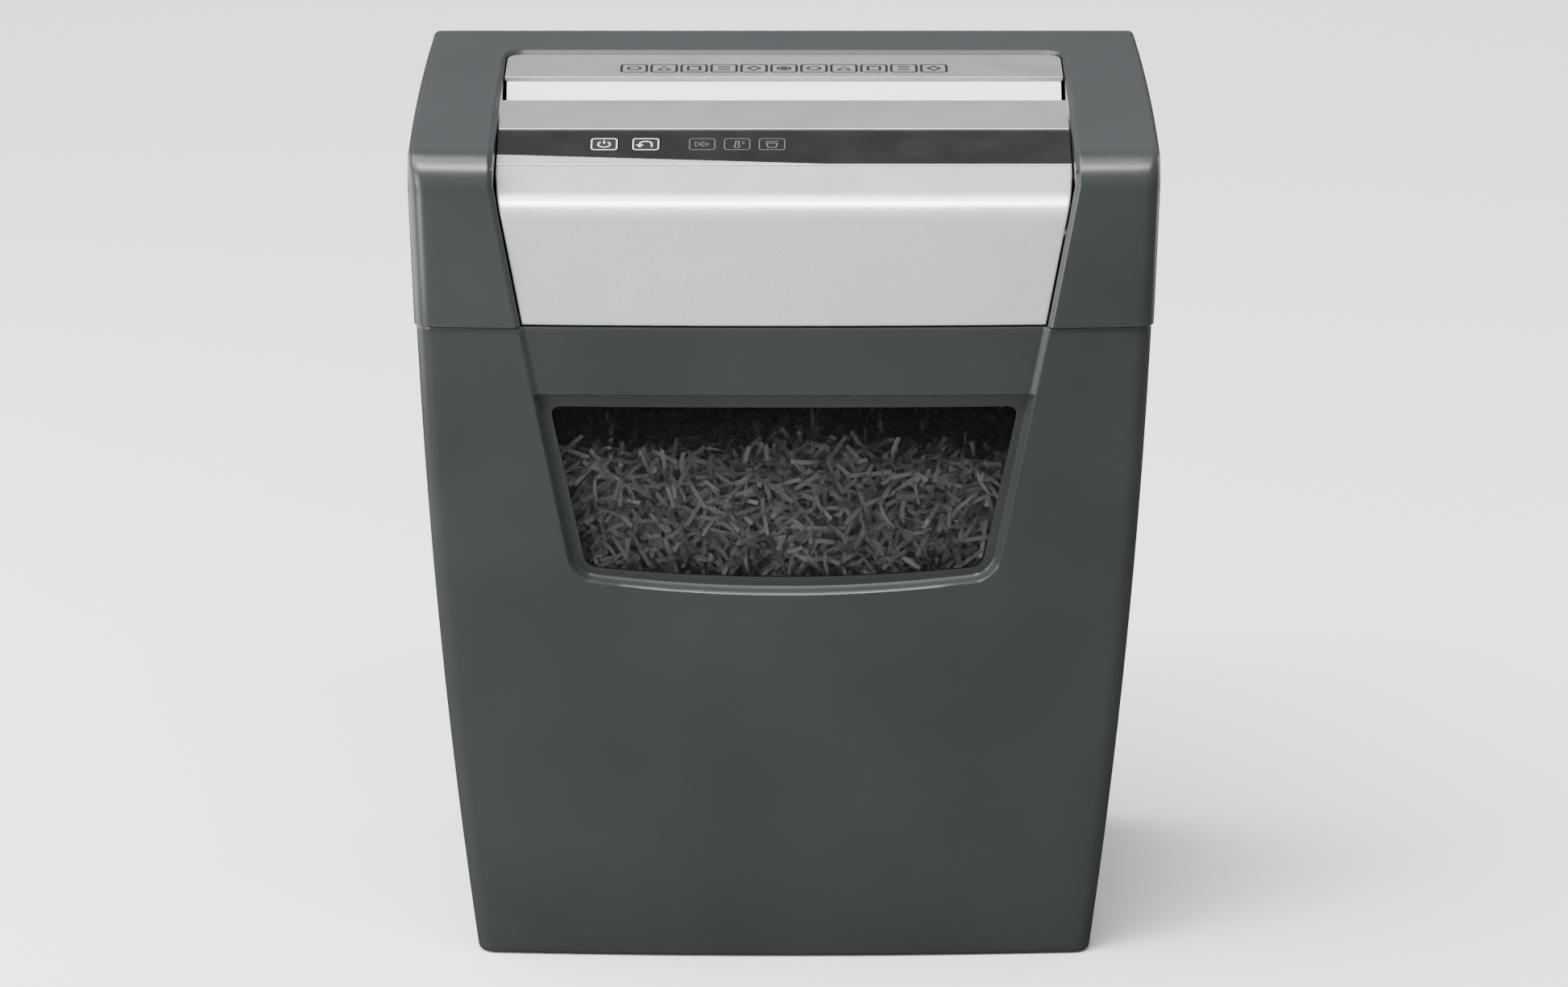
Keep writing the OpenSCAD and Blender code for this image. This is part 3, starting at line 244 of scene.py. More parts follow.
@dataclass(frozen=True)
class Finish:
    """A finish that can be dressed onto pieces. Constants go straight on the shader."""

    name: str
    colour: Colour

    def build(self) -> bpy.types.Material:
        """Returns the finish's material, made at its first use."""
        title = f"{self.name}_finish"
        made = bpy.data.materials.get(title)
        if made is None:
            made = bpy.data.materials.new(title)
            made.use_nodes = True
            made.diffuse_color = four(self.colour)
            hand = Tree(made.node_tree)
            made.node_tree.nodes.clear()
            shader = hand.add("ShaderNodeBsdfPrincipled")
            leave = hand.add("ShaderNodeOutputMaterial")
            hand.feed(leave.inputs["Surface"], shader.outputs[0])
            self.paint(hand, shader)
        return made

    def paint(self, hand: Tree, shader: bpy.types.Node) -> None:
        """Fills in the shader; each kind of finish does this its own way."""
        raise NotImplementedError

    @staticmethod
    def effect(hand: Tree, effect: Effect, **values: float) -> dict[str, bpy.types.NodeSocket]:
        """Returns the outputs of a shared effect with its own values."""
        node = hand.add("ShaderNodeGroup", node_tree=EFFECTS.get(effect))
        for title, value in values.items():
            node.inputs[title.replace("_", " ")].default_value = value
        return node.outputs

    @staticmethod
    def lay(hand: Tree, shader: bpy.types.Node, base, layers: Sequence[tuple], rough,
            height=None, depth: float = 0.0, **fixed: float) -> None:
        """Wires a finish together.

        Args:
            hand: the material's tree.
            shader: the shader to fill in.
            base: the lowest colour.
            layers: a mask and a colour for each layer over it.
            rough: the roughness.
            height: the bump's height, if there is one.
            depth: the bump's depth in metres.
            **fixed: constant values of the shader's other sockets.
        """
        for mask, colour in layers:
            base = hand.mix(mask, base, colour)
        hand.feed(shader.inputs["Base Color"], base)
        hand.feed(shader.inputs["Roughness"], rough)
        for title, value in fixed.items():
            shader.inputs[title.replace("_", " ")].default_value = value
        if height is not None:
            bump = hand.add("ShaderNodeBump", {"Height": height, "Distance": depth,
                                               "Strength": 1.0})
            hand.feed(shader.inputs["Normal"], bump.outputs[0])


@dataclass(frozen=True)
class MouldedPlastic(Finish):
    """Plastic straight from a textured mould: mottled, grained, rubbed at the edges, dusty."""

    roughness: float = 0.5
    grain: float = 1400.0
    depth: float = 0.00005
    mottle: float = 0.06
    wear: float = 0.35
    dust: float = 0.18
    specular: float = 0.5

    def paint(self, hand: Tree, shader: bpy.types.Node) -> None:
        """Fills in the shader."""
        grain = self.effect(hand, Effect.GRAIN, Scale=self.grain, Mottle_Scale=11.0)
        wear = self.effect(hand, Effect.WEAR, Amount=self.wear, Break_Scale=70.0)["Mask"]
        dust = self.effect(hand, Effect.DUST, Amount=self.dust, Scale=28.0)["Mask"]
        base = hand.mix(grain["Mottle"], tone(self.colour, 1 - self.mottle),
                        tone(self.colour, 1 + self.mottle))
        rough = hand.math("ADD", hand.scale_to(grain["Mottle"], 0, 1, self.roughness - 0.03,
                                               self.roughness + 0.03),
                          hand.math("MULTIPLY", dust, 0.3))
        rough = hand.math("SUBTRACT", rough, hand.math("MULTIPLY", wear, 0.12))
        self.lay(hand, shader, base, [(wear, tone(self.colour, 1.5, 0.02)),
                                      (dust, (0.42, 0.41, 0.39))],
                 rough, grain["Height"], self.depth, Specular_IOR_Level=self.specular)


@dataclass(frozen=True)
class MetallicPaint(Finish):
    """Silver paint with fine flake under a thin satin lacquer."""

    roughness: float = 0.38
    metallic: float = 0.75
    wear: float = 0.35

    def paint(self, hand: Tree, shader: bpy.types.Node) -> None:
        """Fills in the shader: flake in colour and bump, clouds, rubbed edges and dust."""
        place = hand.place()
        flake = hand.add("ShaderNodeTexVoronoi", {"Vector": place, "Scale": 2600.0})
        glint = hand.add("ShaderNodeSeparateColor", {0: flake.outputs["Color"]}).outputs[0]
        cloud = hand.scale_to(hand.noise(place, 14.0, 4.0), 0.35, 0.65, 0.0, 0.12)
        wear = self.effect(hand, Effect.WEAR, Amount=self.wear, Break_Scale=90.0)["Mask"]
        dust = self.effect(hand, Effect.DUST, Amount=0.02, Scale=160.0)["Mask"]
        base = hand.mix(hand.scale_to(glint, 0.0, 1.0), tone(self.colour, 0.90),
                        tone(self.colour, 1.08))
        rough = hand.scale_to(hand.noise(place, 55.0, 5.0), 0.3, 0.7, self.roughness - 0.04,
                              self.roughness + 0.05)
        self.lay(hand, shader, base, [(cloud, (0.80, 0.80, 0.79)), (wear, (0.86, 0.86, 0.85)),
                                      (dust, (0.55, 0.54, 0.52))],
                 rough, glint, 0.000012, Metallic=self.metallic, Coat_Weight=0.25,
                 Coat_Roughness=0.18)


@dataclass(frozen=True)
class PolishedPlastic(Finish):
    """Glossy plastic with wipe marks and a faint bloom of dust."""

    roughness: float = 0.10
    wipe: float = 0.10
    coat: float = 0.6
    specular: float = 0.5
    wear: float = 0.4

    def paint(self, hand: Tree, shader: bpy.types.Node) -> None:
        """Fills in the shader: wiped streaks in the gloss over an even colour."""
        place = hand.place()
        streak = hand.noise(hand.stretched(place, (0.25, 1.0, 1.0)), 120.0, 5.0, 0.6)
        cloud = hand.scale_to(hand.noise(place, 20.0, 3.0), 0.3, 0.7)
        dust = self.effect(hand, Effect.DUST, Amount=0.008, Scale=60.0)["Mask"]
        wear = self.effect(hand, Effect.WEAR, Amount=self.wear, Break_Scale=120.0)["Mask"]
        base = hand.mix(cloud, tone(self.colour, 0.85), tone(self.colour, 1.25, 0.004))
        rough = hand.math("ADD", hand.scale_to(streak, 0.35, 0.7, self.roughness,
                                               self.roughness + self.wipe),
                          hand.math("MULTIPLY", dust, 0.5))
        self.lay(hand, shader, base, [(wear, tone(self.colour, 1.0, 0.12)),
                                      (dust, (0.5, 0.5, 0.49))],
                 rough, streak, 0.000001, Specular_IOR_Level=self.specular,
                 Coat_Weight=self.coat, Coat_Roughness=0.06)


@dataclass(frozen=True)
class SmokedPane(Finish):
    """Dark clear plastic that shows what lies close behind it."""

    tint: float = 0.62

    def paint(self, hand: Tree, shader: bpy.types.Node) -> None:
        """Fills in the shader: a see-through body with hairline scratches and a soft haze."""
        place = hand.place()
        fine = hand.noise(hand.stretched(place, (1.0, 1.0, 0.08)), 700.0, 4.0)
        scratch = hand.scale_to(fine, 0.62, 0.70)
        haze = hand.noise(place, 24.0, 5.0)
        hand.feed(shader.inputs["Alpha"], hand.math(
            "ADD", hand.scale_to(haze, 0.35, 0.7, self.tint, self.tint + 0.05),
            hand.math("MULTIPLY", scratch, 0.05)))
        self.lay(hand, shader, self.colour,
                 [(hand.math("MULTIPLY", scratch, 0.25), (0.10, 0.10, 0.10))],
                 hand.scale_to(haze, 0.3, 0.7, 0.07, 0.15), haze, 0.00002,
                 Specular_IOR_Level=0.45)


@dataclass(frozen=True)
class WorkedMetal(Finish):
    """Bare or plated metal with drawn lines, stains and bright edges."""

    roughness: float = 0.32
    stretch: float = 0.02
    stain: Colour = (0.20, 0.19, 0.18)
    stain_amount: float = 0.25

    def paint(self, hand: Tree, shader: bpy.types.Node) -> None:
        """Fills in the shader: lines in roughness and bump, oil stains in colour."""
        brush = self.effect(hand, Effect.BRUSH, Scale=900.0, Stretch=self.stretch)
        wear = self.effect(hand, Effect.WEAR, Amount=0.5, Break_Scale=150.0)["Mask"]
        blot = hand.scale_to(hand.noise(hand.place(), 45.0, 6.0), 0.5, 0.75, 0.0,
                             self.stain_amount)
        rough = hand.math("ADD", hand.scale_to(brush["Streak"], 0, 1, self.roughness - 0.07,
                                               self.roughness + 0.09),
                          hand.math("MULTIPLY", blot, 0.4))
        self.lay(hand, shader, self.colour,
                 [(hand.math("MULTIPLY", brush["Streak"], 0.35), tone(self.colour, 0.72)),
                  (blot, self.stain), (wear, tone(self.colour, 1.25))],
                 rough, brush["Height"], 0.00002, Metallic=1.0)


@dataclass(frozen=True)
class Windings(Finish):
    """Lacquered wire wound round a core, seen as close ridges."""

    ridge: float = 1500.0
    metallic: float = 0.7

    def paint(self, hand: Tree, shader: bpy.types.Node) -> None:
        """Fills in the shader: ridges of wire in bump, with painted shade in colour that darkens
        the grooves between turns.
        """
        place = hand.place()
        wave = hand.add("ShaderNodeTexWave", {"Vector": place, "Scale": self.ridge / 6.28,
                                              "Distortion": 0.6, "Detail": 2.0}).outputs["Fac"]
        blot = hand.scale_to(hand.noise(place, 60.0, 5.0), 0.4, 0.7)
        # Painted shade: the colour goes darker where the ridges' bump is low, in the grooves
        # between turns.
        base = hand.mix(wave, tone(self.colour, 0.55), self.colour)
        self.lay(hand, shader, base, [(hand.math("MULTIPLY", blot, 0.3), (0.10, 0.05, 0.03))],
                 hand.scale_to(blot, 0, 1, 0.3, 0.5), wave, 0.0001, Metallic=self.metallic)


@dataclass(frozen=True)
class BoardLacquer(Finish):
    """Solder mask over copper tracks."""

    pitch: float = 260.0

    def paint(self, hand: Tree, shader: bpy.types.Node) -> None:
        """Fills in the shader: tracks under the lacquer, with bright pads."""
        place = hand.place()
        cells = hand.add("ShaderNodeTexBrick", {"Vector": place, "Scale": self.pitch,
                                                "Mortar Size": 0.12}).outputs["Fac"]
        pads = hand.add("ShaderNodeTexVoronoi", {"Vector": place, "Scale": self.pitch * 0.8})
        spot = hand.scale_to(pads.outputs["Distance"], 0.12, 0.17, 1.0, 0.0)
        self.lay(hand, shader, self.colour,
                 [(cells, tone(self.colour, 1.6)), (spot, (0.62, 0.60, 0.55))],
                 hand.scale_to(spot, 0, 1, 0.28, 0.4), cells, 0.00004)


@dataclass(frozen=True)
class ShreddedPaper(Finish):
    """Cut office paper: each strip has its own tone, with a trace of print."""

    def paint(self, hand: Tree, shader: bpy.types.Node) -> None:
        """Fills in the shader: tone by strip, broken print lines and paper fibre."""
        shade = hand.add("ShaderNodeAttribute", attribute_name="tone").outputs["Fac"]
        along = hand.add("ShaderNodeAttribute", attribute_name="along").outputs["Vector"]
        lines = hand.noise(along, 9.0, 2.0, 0.5)
        fibre = hand.noise(hand.place(), 1800.0, 2.0)
        inked = hand.math("MULTIPLY", hand.scale_to(lines, 0.54, 0.60),
                          hand.scale_to(shade, 0.35, 0.75, 0.75, 0.1))
        base = hand.mix(shade, (0.38, 0.38, 0.37), self.colour)
        self.lay(hand, shader, base, [(inked, (0.09, 0.09, 0.10))],
                 hand.scale_to(fibre, 0.3, 0.7, 0.75, 0.9), fibre, 0.00003)


@dataclass(frozen=True)
class PrintedInk(Finish):
    """Screen-printed ink, slightly uneven."""

    roughness: float = 0.45

    def paint(self, hand: Tree, shader: bpy.types.Node) -> None:
        """Fills in the shader: ink with thin spots."""
        thin = hand.scale_to(hand.noise(hand.place(), 900.0, 3.0), 0.35, 0.65)
        self.lay(hand, shader, tone(self.colour, 0.82), [(thin, self.colour)],
                 hand.scale_to(thin, 0, 1, self.roughness, self.roughness + 0.12), thin,
                 0.000002, Specular_IOR_Level=0.2)


@dataclass(frozen=True)
class StudioFloor(Finish):
    """A plain pale floor of barely uneven matt paint."""

    def paint(self, hand: Tree, shader: bpy.types.Node) -> None:
        """Fills in the shader."""
        cloud = hand.scale_to(hand.noise(hand.place(), 1.5, 3.0), 0.3, 0.7)
        self.lay(hand, shader, tone(self.colour, 0.985), [(cloud, self.colour)], 0.85,
                 Specular_IOR_Level=0.15)


CASING = MouldedPlastic("dark_casing", (0.0235, 0.0264, 0.0273), roughness=0.31, grain=1500.0,
                        depth=0.00003, mottle=0.08, wear=0.06, dust=0.004, specular=0.42)
# The same silver paint as the front, darkened for the top panels: painted shade for the flat tops,
# which catch less light.
SHADED_SILVER_TOP = MetallicPaint("shaded_silver_top", (0.365, 0.385, 0.394), roughness=0.32, metallic=0.65,
                           wear=0.0)
SILVER_FRONT = MetallicPaint("silver_front", (0.66, 0.67, 0.68), roughness=0.30, metallic=0.55)
LINING = MouldedPlastic("chute_lining", (0.84, 0.85, 0.86), roughness=0.34, grain=2200.0,
                        depth=0.00002, mottle=0.02, wear=0.0, dust=0.03)
GLOSS = PolishedPlastic("gloss_band", (0.005, 0.0056, 0.006), roughness=0.20, wipe=0.010,
                        coat=0.0, specular=0.35, wear=0.0)
KEY_CAP = PolishedPlastic("key_cap", (0.014, 0.015, 0.017), roughness=0.24, wipe=0.012,
                          coat=0.0, specular=0.35, wear=0.0)
PANE = SmokedPane("smoked_pane", (0.004, 0.0045, 0.005), tint=0.49)
HOUSING = MouldedPlastic("housing_plastic", (0.030, 0.033, 0.035), roughness=0.55, wear=0.2)
RUBBER = MouldedPlastic("inlet_rubber", (0.018, 0.018, 0.018), roughness=0.72, grain=2600.0)
SHEET = WorkedMetal("sheet_steel", (0.60, 0.61, 0.62), roughness=0.36)
BRIGHT = WorkedMetal("bright_steel", (0.66, 0.66, 0.67), roughness=0.22, stretch=1.0)
COMB = MouldedPlastic("comb_plastic", (0.05, 0.05, 0.055), roughness=0.6, grain=900.0)
BRONZE = WorkedMetal("sintered_bronze", (0.62, 0.44, 0.24), roughness=0.42, stretch=1.0)
CUTTER = WorkedMetal("cutter_steel", (0.46, 0.46, 0.47), roughness=0.30, stain_amount=0.45)
SPACER = MouldedPlastic("spacer_plastic", (0.08, 0.08, 0.085), roughness=0.5)
GEAR_STEEL = WorkedMetal("gear_steel", (0.44, 0.43, 0.42), roughness=0.34,
                         stain=(0.12, 0.09, 0.06), stain_amount=0.5)
NYLON = MouldedPlastic("gear_nylon", (0.74, 0.72, 0.64), roughness=0.42, wear=0.1)
ZINC = WorkedMetal("motor_zinc", (0.56, 0.57, 0.60), roughness=0.33, stretch=0.2)
COPPER = Windings("rotor_copper", (0.62, 0.30, 0.16))
TAPE = Windings("transformer_tape", (0.62, 0.46, 0.14), ridge=500.0, metallic=0.0)
BOARD = BoardLacquer("circuit_board", (0.02, 0.13, 0.06))
RELAY = PolishedPlastic("relay_blue", (0.03, 0.10, 0.34), roughness=0.3)
SLEEVE = PolishedPlastic("capacitor_sleeve", (0.025, 0.025, 0.10), roughness=0.25)
SWITCH = MouldedPlastic("switch_black", (0.02, 0.02, 0.021), roughness=0.5)
LIGHT = PolishedPlastic("light_pipe", (0.70, 0.71, 0.70), roughness=0.12)
PLUNGER = PolishedPlastic("plunger_red", (0.52, 0.05, 0.03), roughness=0.3)
SCREW = WorkedMetal("black_screws", (0.06, 0.06, 0.065), roughness=0.4, stretch=1.0)
PAPER = ShreddedPaper("shredded_paper", (0.80, 0.80, 0.78))
INK_WHITE = PrintedInk("ink_white", (0.72, 0.74, 0.76))
INK_DIM = PrintedInk("ink_dim", (0.10, 0.11, 0.12))
INK_GREY = PrintedInk("ink_grey", (0.010, 0.0105, 0.011))
PALE = StudioFloor("pale_floor", (0.90, 0.90, 0.90))


# ---------------------------------------------------------------- mesh helpers
def link(name: str, data: bpy.types.ID) -> bpy.types.Object:
    """Returns a new object in the scene."""
    obj = bpy.data.objects.new(name, data)
    bpy.context.scene.collection.objects.link(obj)
    return obj


def new_object(name: str, vertices: Iterable[Point],
               faces: Iterable[Sequence[int]]) -> bpy.types.Object:
    """Makes an object in the scene from points in millimetres.

    Args:
        name: the piece's name.
        vertices: points in millimetres, in the CAD frame.
        faces: corner indices of each face, walked so that they point outwards.

    Returns:
        The object, at the origin, with its mesh in metres.
    """
    mesh = bpy.data.meshes.new(name)
    mesh.from_pydata([(x * MM, y * MM, z * MM) for x, y, z in vertices], [], list(faces))
    return link(name, mesh)


def tidy_mesh(obj: bpy.types.Object, sharp_angle: float = 32.0, recalculate: bool = False,
              merge: float = MERGE) -> None:
    """Merges doubles, drops slivers and sets smooth shading with sharp creases.

    Args:
        obj: the mesh object.
        sharp_angle: edges bent by more than this many degrees stay sharp.
        recalculate: whether the faces are turned outwards again.
        merge: distance in metres within which points are one.
    """
    work = bmesh.new()
    work.from_mesh(obj.data)
    bmesh.ops.remove_doubles(work, verts=work.verts, dist=merge)
    bmesh.ops.dissolve_degenerate(work, edges=work.edges, dist=1e-7)
    if recalculate:
        bmesh.ops.recalc_face_normals(work, faces=work.faces)
    work.to_mesh(obj.data)
    work.free()
    obj.data.polygons.foreach_set("use_smooth", [True] * len(obj.data.polygons))
    obj.data.set_sharp_from_angle(angle=math.radians(sharp_angle))
    obj.data.update()


def bake_modifiers(obj: bpy.types.Object) -> None:
    """Turns the object's evaluated shape into its plain mesh and clears its modifiers."""
    bpy.context.view_layer.update()
    graph = bpy.context.evaluated_depsgraph_get()
    mesh = bpy.data.meshes.new_from_object(obj.evaluated_get(graph), preserve_all_data_layers=True,
                                           depsgraph=graph)
    obj.modifiers.clear()
    old, name = obj.data, obj.data.name
    obj.data = mesh
    bpy.data.meshes.remove(old)
    mesh.name = name


def cut(obj: bpy.types.Object, tool: bpy.types.Object, operation: str = "DIFFERENCE") -> None:
    """Applies a boolean with the tool, then removes the tool."""
    change = obj.modifiers.new("cut", "BOOLEAN")
    change.operation, change.object, change.solver = operation, tool, "MANIFOLD"
    bake_modifiers(obj)
    bpy.data.objects.remove(tool)


def thicken(obj: bpy.types.Object, thickness: float) -> None:
    """Gives an open sheet a wall on its inner side, in millimetres."""
    wall = obj.modifiers.new("wall", "SOLIDIFY")
    wall.thickness, wall.offset = thickness * MM, -1.0
    bake_modifiers(obj)


def prism(name: str, outlines: Sequence[Sequence[Flat]], start: float, end: float,
          place: Callable[[float, float, float], Point]) -> bpy.types.Object:
    """Draws outlines out from start to end.

    Args:
        name: the object's name.
        outlines: the closed outlines' points.
        start: first value of the third direction.
        end: last value of the third direction.
        place: turns (first, second, third) into a point.

    Returns:
        The closed prisms as one object, with their faces outwards.
    """
    points: list[Point] = []
    faces: list[tuple[int, ...]] = []
    for outline in outlines:
        n, base = len(outline), len(points)
        points += [place(a, b, t) for t in (start, end) for a, b in outline]
        faces += [tuple(range(base, base + n)), tuple(range(base + 2 * n - 1, base + n - 1, -1))]
        faces += [(base + i, base + i + n, base + (i + 1) % n + n, base + (i + 1) % n)
                  for i in range(n)]
    obj = new_object(name, points, faces)
    tidy_mesh(obj, recalculate=True)
    return obj


def along_y(a: float, b: float, t: float) -> Point:
    """Places a prism's point so that the prism runs along Y."""
    return a, t, b


def along_z(a: float, b: float, t: float) -> Point:
    """Places a prism's point so that the prism runs along Z."""
    return a, b, t


def look(obj: bpy.types.Object, place: Vector, way: Vector) -> None:
    """Puts a light or the camera at a place, looking along a way."""
    obj.location = place
    obj.rotation_euler = way.to_track_quat("-Z", "Y").to_euler()


def sine_cosine(degrees: float) -> tuple[float, float]:
    """Returns the sine and cosine of an angle in degrees."""
    return math.sin(math.radians(degrees)), math.cos(math.radians(degrees))


def unit(value: float) -> float:
    """Returns the value kept between 0 and 1."""
    return max(0.0, min(1.0, value))


def circle(x: float, y: float, radius: float, steps: int = 32) -> list[Flat]:
    """Returns a circle's points."""
    turns = [math.tau * k / steps for k in range(steps)]
    return [(x + radius * math.cos(t), y + radius * math.sin(t)) for t in turns]


def grid_faces(rows: int, cols: int, start: int = 0, wrap: bool = False,
               flip: bool = False) -> list[tuple[int, ...]]:
    """Returns the quads of a grid whose points run row by row from index start."""
    span = cols if wrap else cols - 1
    quads = []
    for i in range(rows - 1):
        for j in range(span):
            a, b = start + i * cols + j, start + i * cols + (j + 1) % cols
            quad = (a, b, b + cols, a + cols)
            quads.append(quad[::-1] if flip else quad)
    return quads


def ramp(value: float, start: float, width: float) -> float:
    """Returns 0 to 1 as value passes from start to start + width, eased at both ends."""
    t = unit((value - start) / width)
    return 0.55 * t + 0.45 * t * t * (3 - 2 * t)


def rounded_distance(across: float, along: float, radius: float) -> float:
    """Returns the distance outside a corner with the radius; negative inside.

    Args:
        across: distance outside the first edge.
        along: distance outside the second edge.
        radius: the corner's radius.
    """
    a, b = across + radius, along + radius
    return min(max(a, b), 0.0) + math.hypot(max(a, 0.0), max(b, 0.0)) - radius


def spread(start: float, end: float, count: int) -> list[float]:
    """Returns count values from start to end, both included."""
    return [start + (end - start) * i / (count - 1) for i in range(count)]


def rest_corners(node: str) -> tuple[Vector, Vector]:
    """Returns a CAD node's box in millimetres."""
    low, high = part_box(node)
    return low / MM, high / MM


class Workshop:
    """Dresses, hangs and logs finished pieces."""

    @staticmethod
    def hang(obj: bpy.types.Object, body: str, finish: Finish, slot: str,
             replaces: Sequence[str] = ()) -> bpy.types.Object:
        """Gives a finished piece its material and body, and hides the nodes it stands for."""
        obj.data.materials.clear()
        obj.data.materials.append(finish.build())
        obj.data.polygons.foreach_set("material_index", [0] * len(obj.data.polygons))
        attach(obj, body)
        if replaces:
            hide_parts(*replaces)
        log.info("%s: %d faces on %s", obj.name, len(obj.data.polygons), body)
        return obj

    @staticmethod
    def soften(node: str, name: str, width: float) -> bpy.types.Object:
        """Returns a merged copy of a CAD node with its edges rounded.

        Faces with many corners are split first, because one that winds round an opening would
        otherwise be filled across it.

        Args:
            node: the CAD node that the piece is made from.
            name: the new piece's name.
            width: width of the rounding in millimetres.
        """
        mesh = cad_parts[node].data.copy()
        mesh.name = name
        obj = link(name, mesh)
        work = bmesh.new()
        work.from_mesh(mesh)
        bmesh.ops.remove_doubles(work, verts=work.verts, dist=MERGE)
        bmesh.ops.dissolve_limit(work, angle_limit=math.radians(FLAT_ANGLE), verts=work.verts,
                                 edges=work.edges)
        bmesh.ops.triangulate(work, faces=[f for f in work.faces if len(f.verts) > 4])
        work.to_mesh(mesh)
        work.free()
        edge = obj.modifiers.new("rounding", "BEVEL")
        edge.width, edge.segments = width * MM, 2
        edge.limit_method, edge.angle_limit = "ANGLE", math.radians(EDGE_ANGLE)
        edge.use_clamp_overlap, edge.miter_outer = True, "MITER_ARC"
        bake_modifiers(obj)
        tidy_mesh(obj, sharp_angle=50.0)
        level = obj.modifiers.new("shading", "WEIGHTED_NORMAL")
        level.keep_sharp = True
        bake_modifiers(obj)
        return obj


# ---------------------------------------------------------------- shared form
@dataclass(frozen=True)
class ShellForm:
    """The law of the outer skin, shared by the bin and the head. Sizes in millimetres."""

    half_w: float
    back_y: float
    seam_z: float
    top_z: float
    bin_foot_w: float = 303.0
    bin_step: float = 1.0
    front_lean: float = 27.0
    back_lean: float = 12.0
    swell: float = 0.54
    front_bow: float = 5.0
    side_bow: float = 3.0
    bow_centre: float = 0.3
    front_corner: float = 8.0
    rear_corner: float = 9.0
    fascia_foot_w: float = 252.0
    channel_w: float = 278.0
    fascia_rise: float = 68.0
    head_lean: float = 7.0
    knee_r: float = 17.0
    top_fall: float = 3.0

    @classmethod
    def from_frame(cls) -> "ShellForm":
        """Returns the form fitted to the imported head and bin."""
        head_low, head_high = rest_corners("head_cover")
        _, bin_high = rest_corners("bin_shell")
        return cls(half_w=round((head_high.x - head_low.x) / 2, 1), back_y=head_high.y,
                   seam_z=round(bin_high.z + 0.4, 1), top_z=head_high.z)

    @property
    def front_y(self) -> float:
        """The front face's middle, before the part between the shoulders is cut away."""
        seam_hw = self.half_w - 2.5
        return -self.back_y - self.front_bow * (self.fascia_foot_w / 2 / seam_hw) ** 2

    @property
    def rib_slope(self) -> float:
        """How fast the shoulders' inner edges spread with height."""
        return (self.channel_w - self.fascia_foot_w) / 2 / self.fascia_rise

    def swollen(self, z: float) -> float:
        """Returns the share of the way out to the top at height z."""
        t = z / self.seam_z
        return t * (1 + self.swell * (1 - t))

    def bin_hw(self, z: float) -> float:
        """Returns the bin's half width at height z."""
        top = 2 * self.half_w - 5 - 2 * self.bin_step
        return (self.bin_foot_w + (top - self.bin_foot_w) * self.swollen(z)) / 2

    def bin_front(self, z: float) -> float:
        """Returns the bin's front at height z, before it is bowed."""
        return self.front_y + self.bin_step + self.front_lean * (1 - self.swollen(z))

    def bin_back(self, z: float) -> float:
        """Returns the bin's back at height z."""
        return self.back_y - 2 - self.bin_step - self.back_lean * (1 - self.swollen(z))

    def rib_x(self, z: float) -> float:
        """Returns the half width between the shoulders at height z."""
        return min(self.channel_w / 2, self.fascia_foot_w / 2 + (z - self.seam_z) * self.rib_slope)

    def bowed(self, x: float, y: float, z: float, hw: float, yf: float, yb: float) -> Point:
        """Returns the point with the front bowed and the sides drawn in."""
        yc = yf + (yb - yf) * self.bow_centre
        draw = self.side_bow / hw * ((y - yc) / (yb - yc)) ** 2
        near = max(0.0, (yc - y) / (yc - yf))
        return x * (1 - draw), y + near * self.front_bow * (x / hw) ** 2, z

    @property
    def knee_z(self) -> float:
        """Height where the front face turns into the knee."""
        return self.top_z - self.top_fall - self.knee_r

    @property
    def knee_y(self) -> float:
        """Depth where the knee turns into the top."""
        return self.front_y + self.head_lean + self.knee_r

    def head_hw(self, z: float) -> float:
        """Returns the head's half width at height z."""
        return self.half_w - 2.5 + 2.5 * min(1.0, (z - self.seam_z) / (self.knee_z - self.seam_z))

    def head_front(self, z: float) -> float:
        """Returns the head's front at height z, before it is bowed."""
        if z <= self.knee_z:
            t = max(0.0, (z - self.seam_z) / (self.knee_z - self.seam_z))
            return self.front_y + self.head_lean * t ** 1.4
        rise = min(1.0, (z - self.knee_z) / self.knee_r)
        return self.front_y + self.head_lean + self.knee_r * (1 - math.sqrt(1 - rise * rise))

    def head_top(self, y: float) -> float:
        """Returns the height of the top face at depth y."""
        return self.top_z - (self.back_y - y) * self.top_fall / (self.back_y - self.knee_y)


class Face(Enum):
    """Which stretch of a ring a column belongs to."""

    FRONT = 0
    FRONT_RIGHT = 1
    RIGHT = 2
    REAR_RIGHT = 3
    BACK = 4
    REAR_LEFT = 5
    LEFT = 6
    FRONT_LEFT = 7


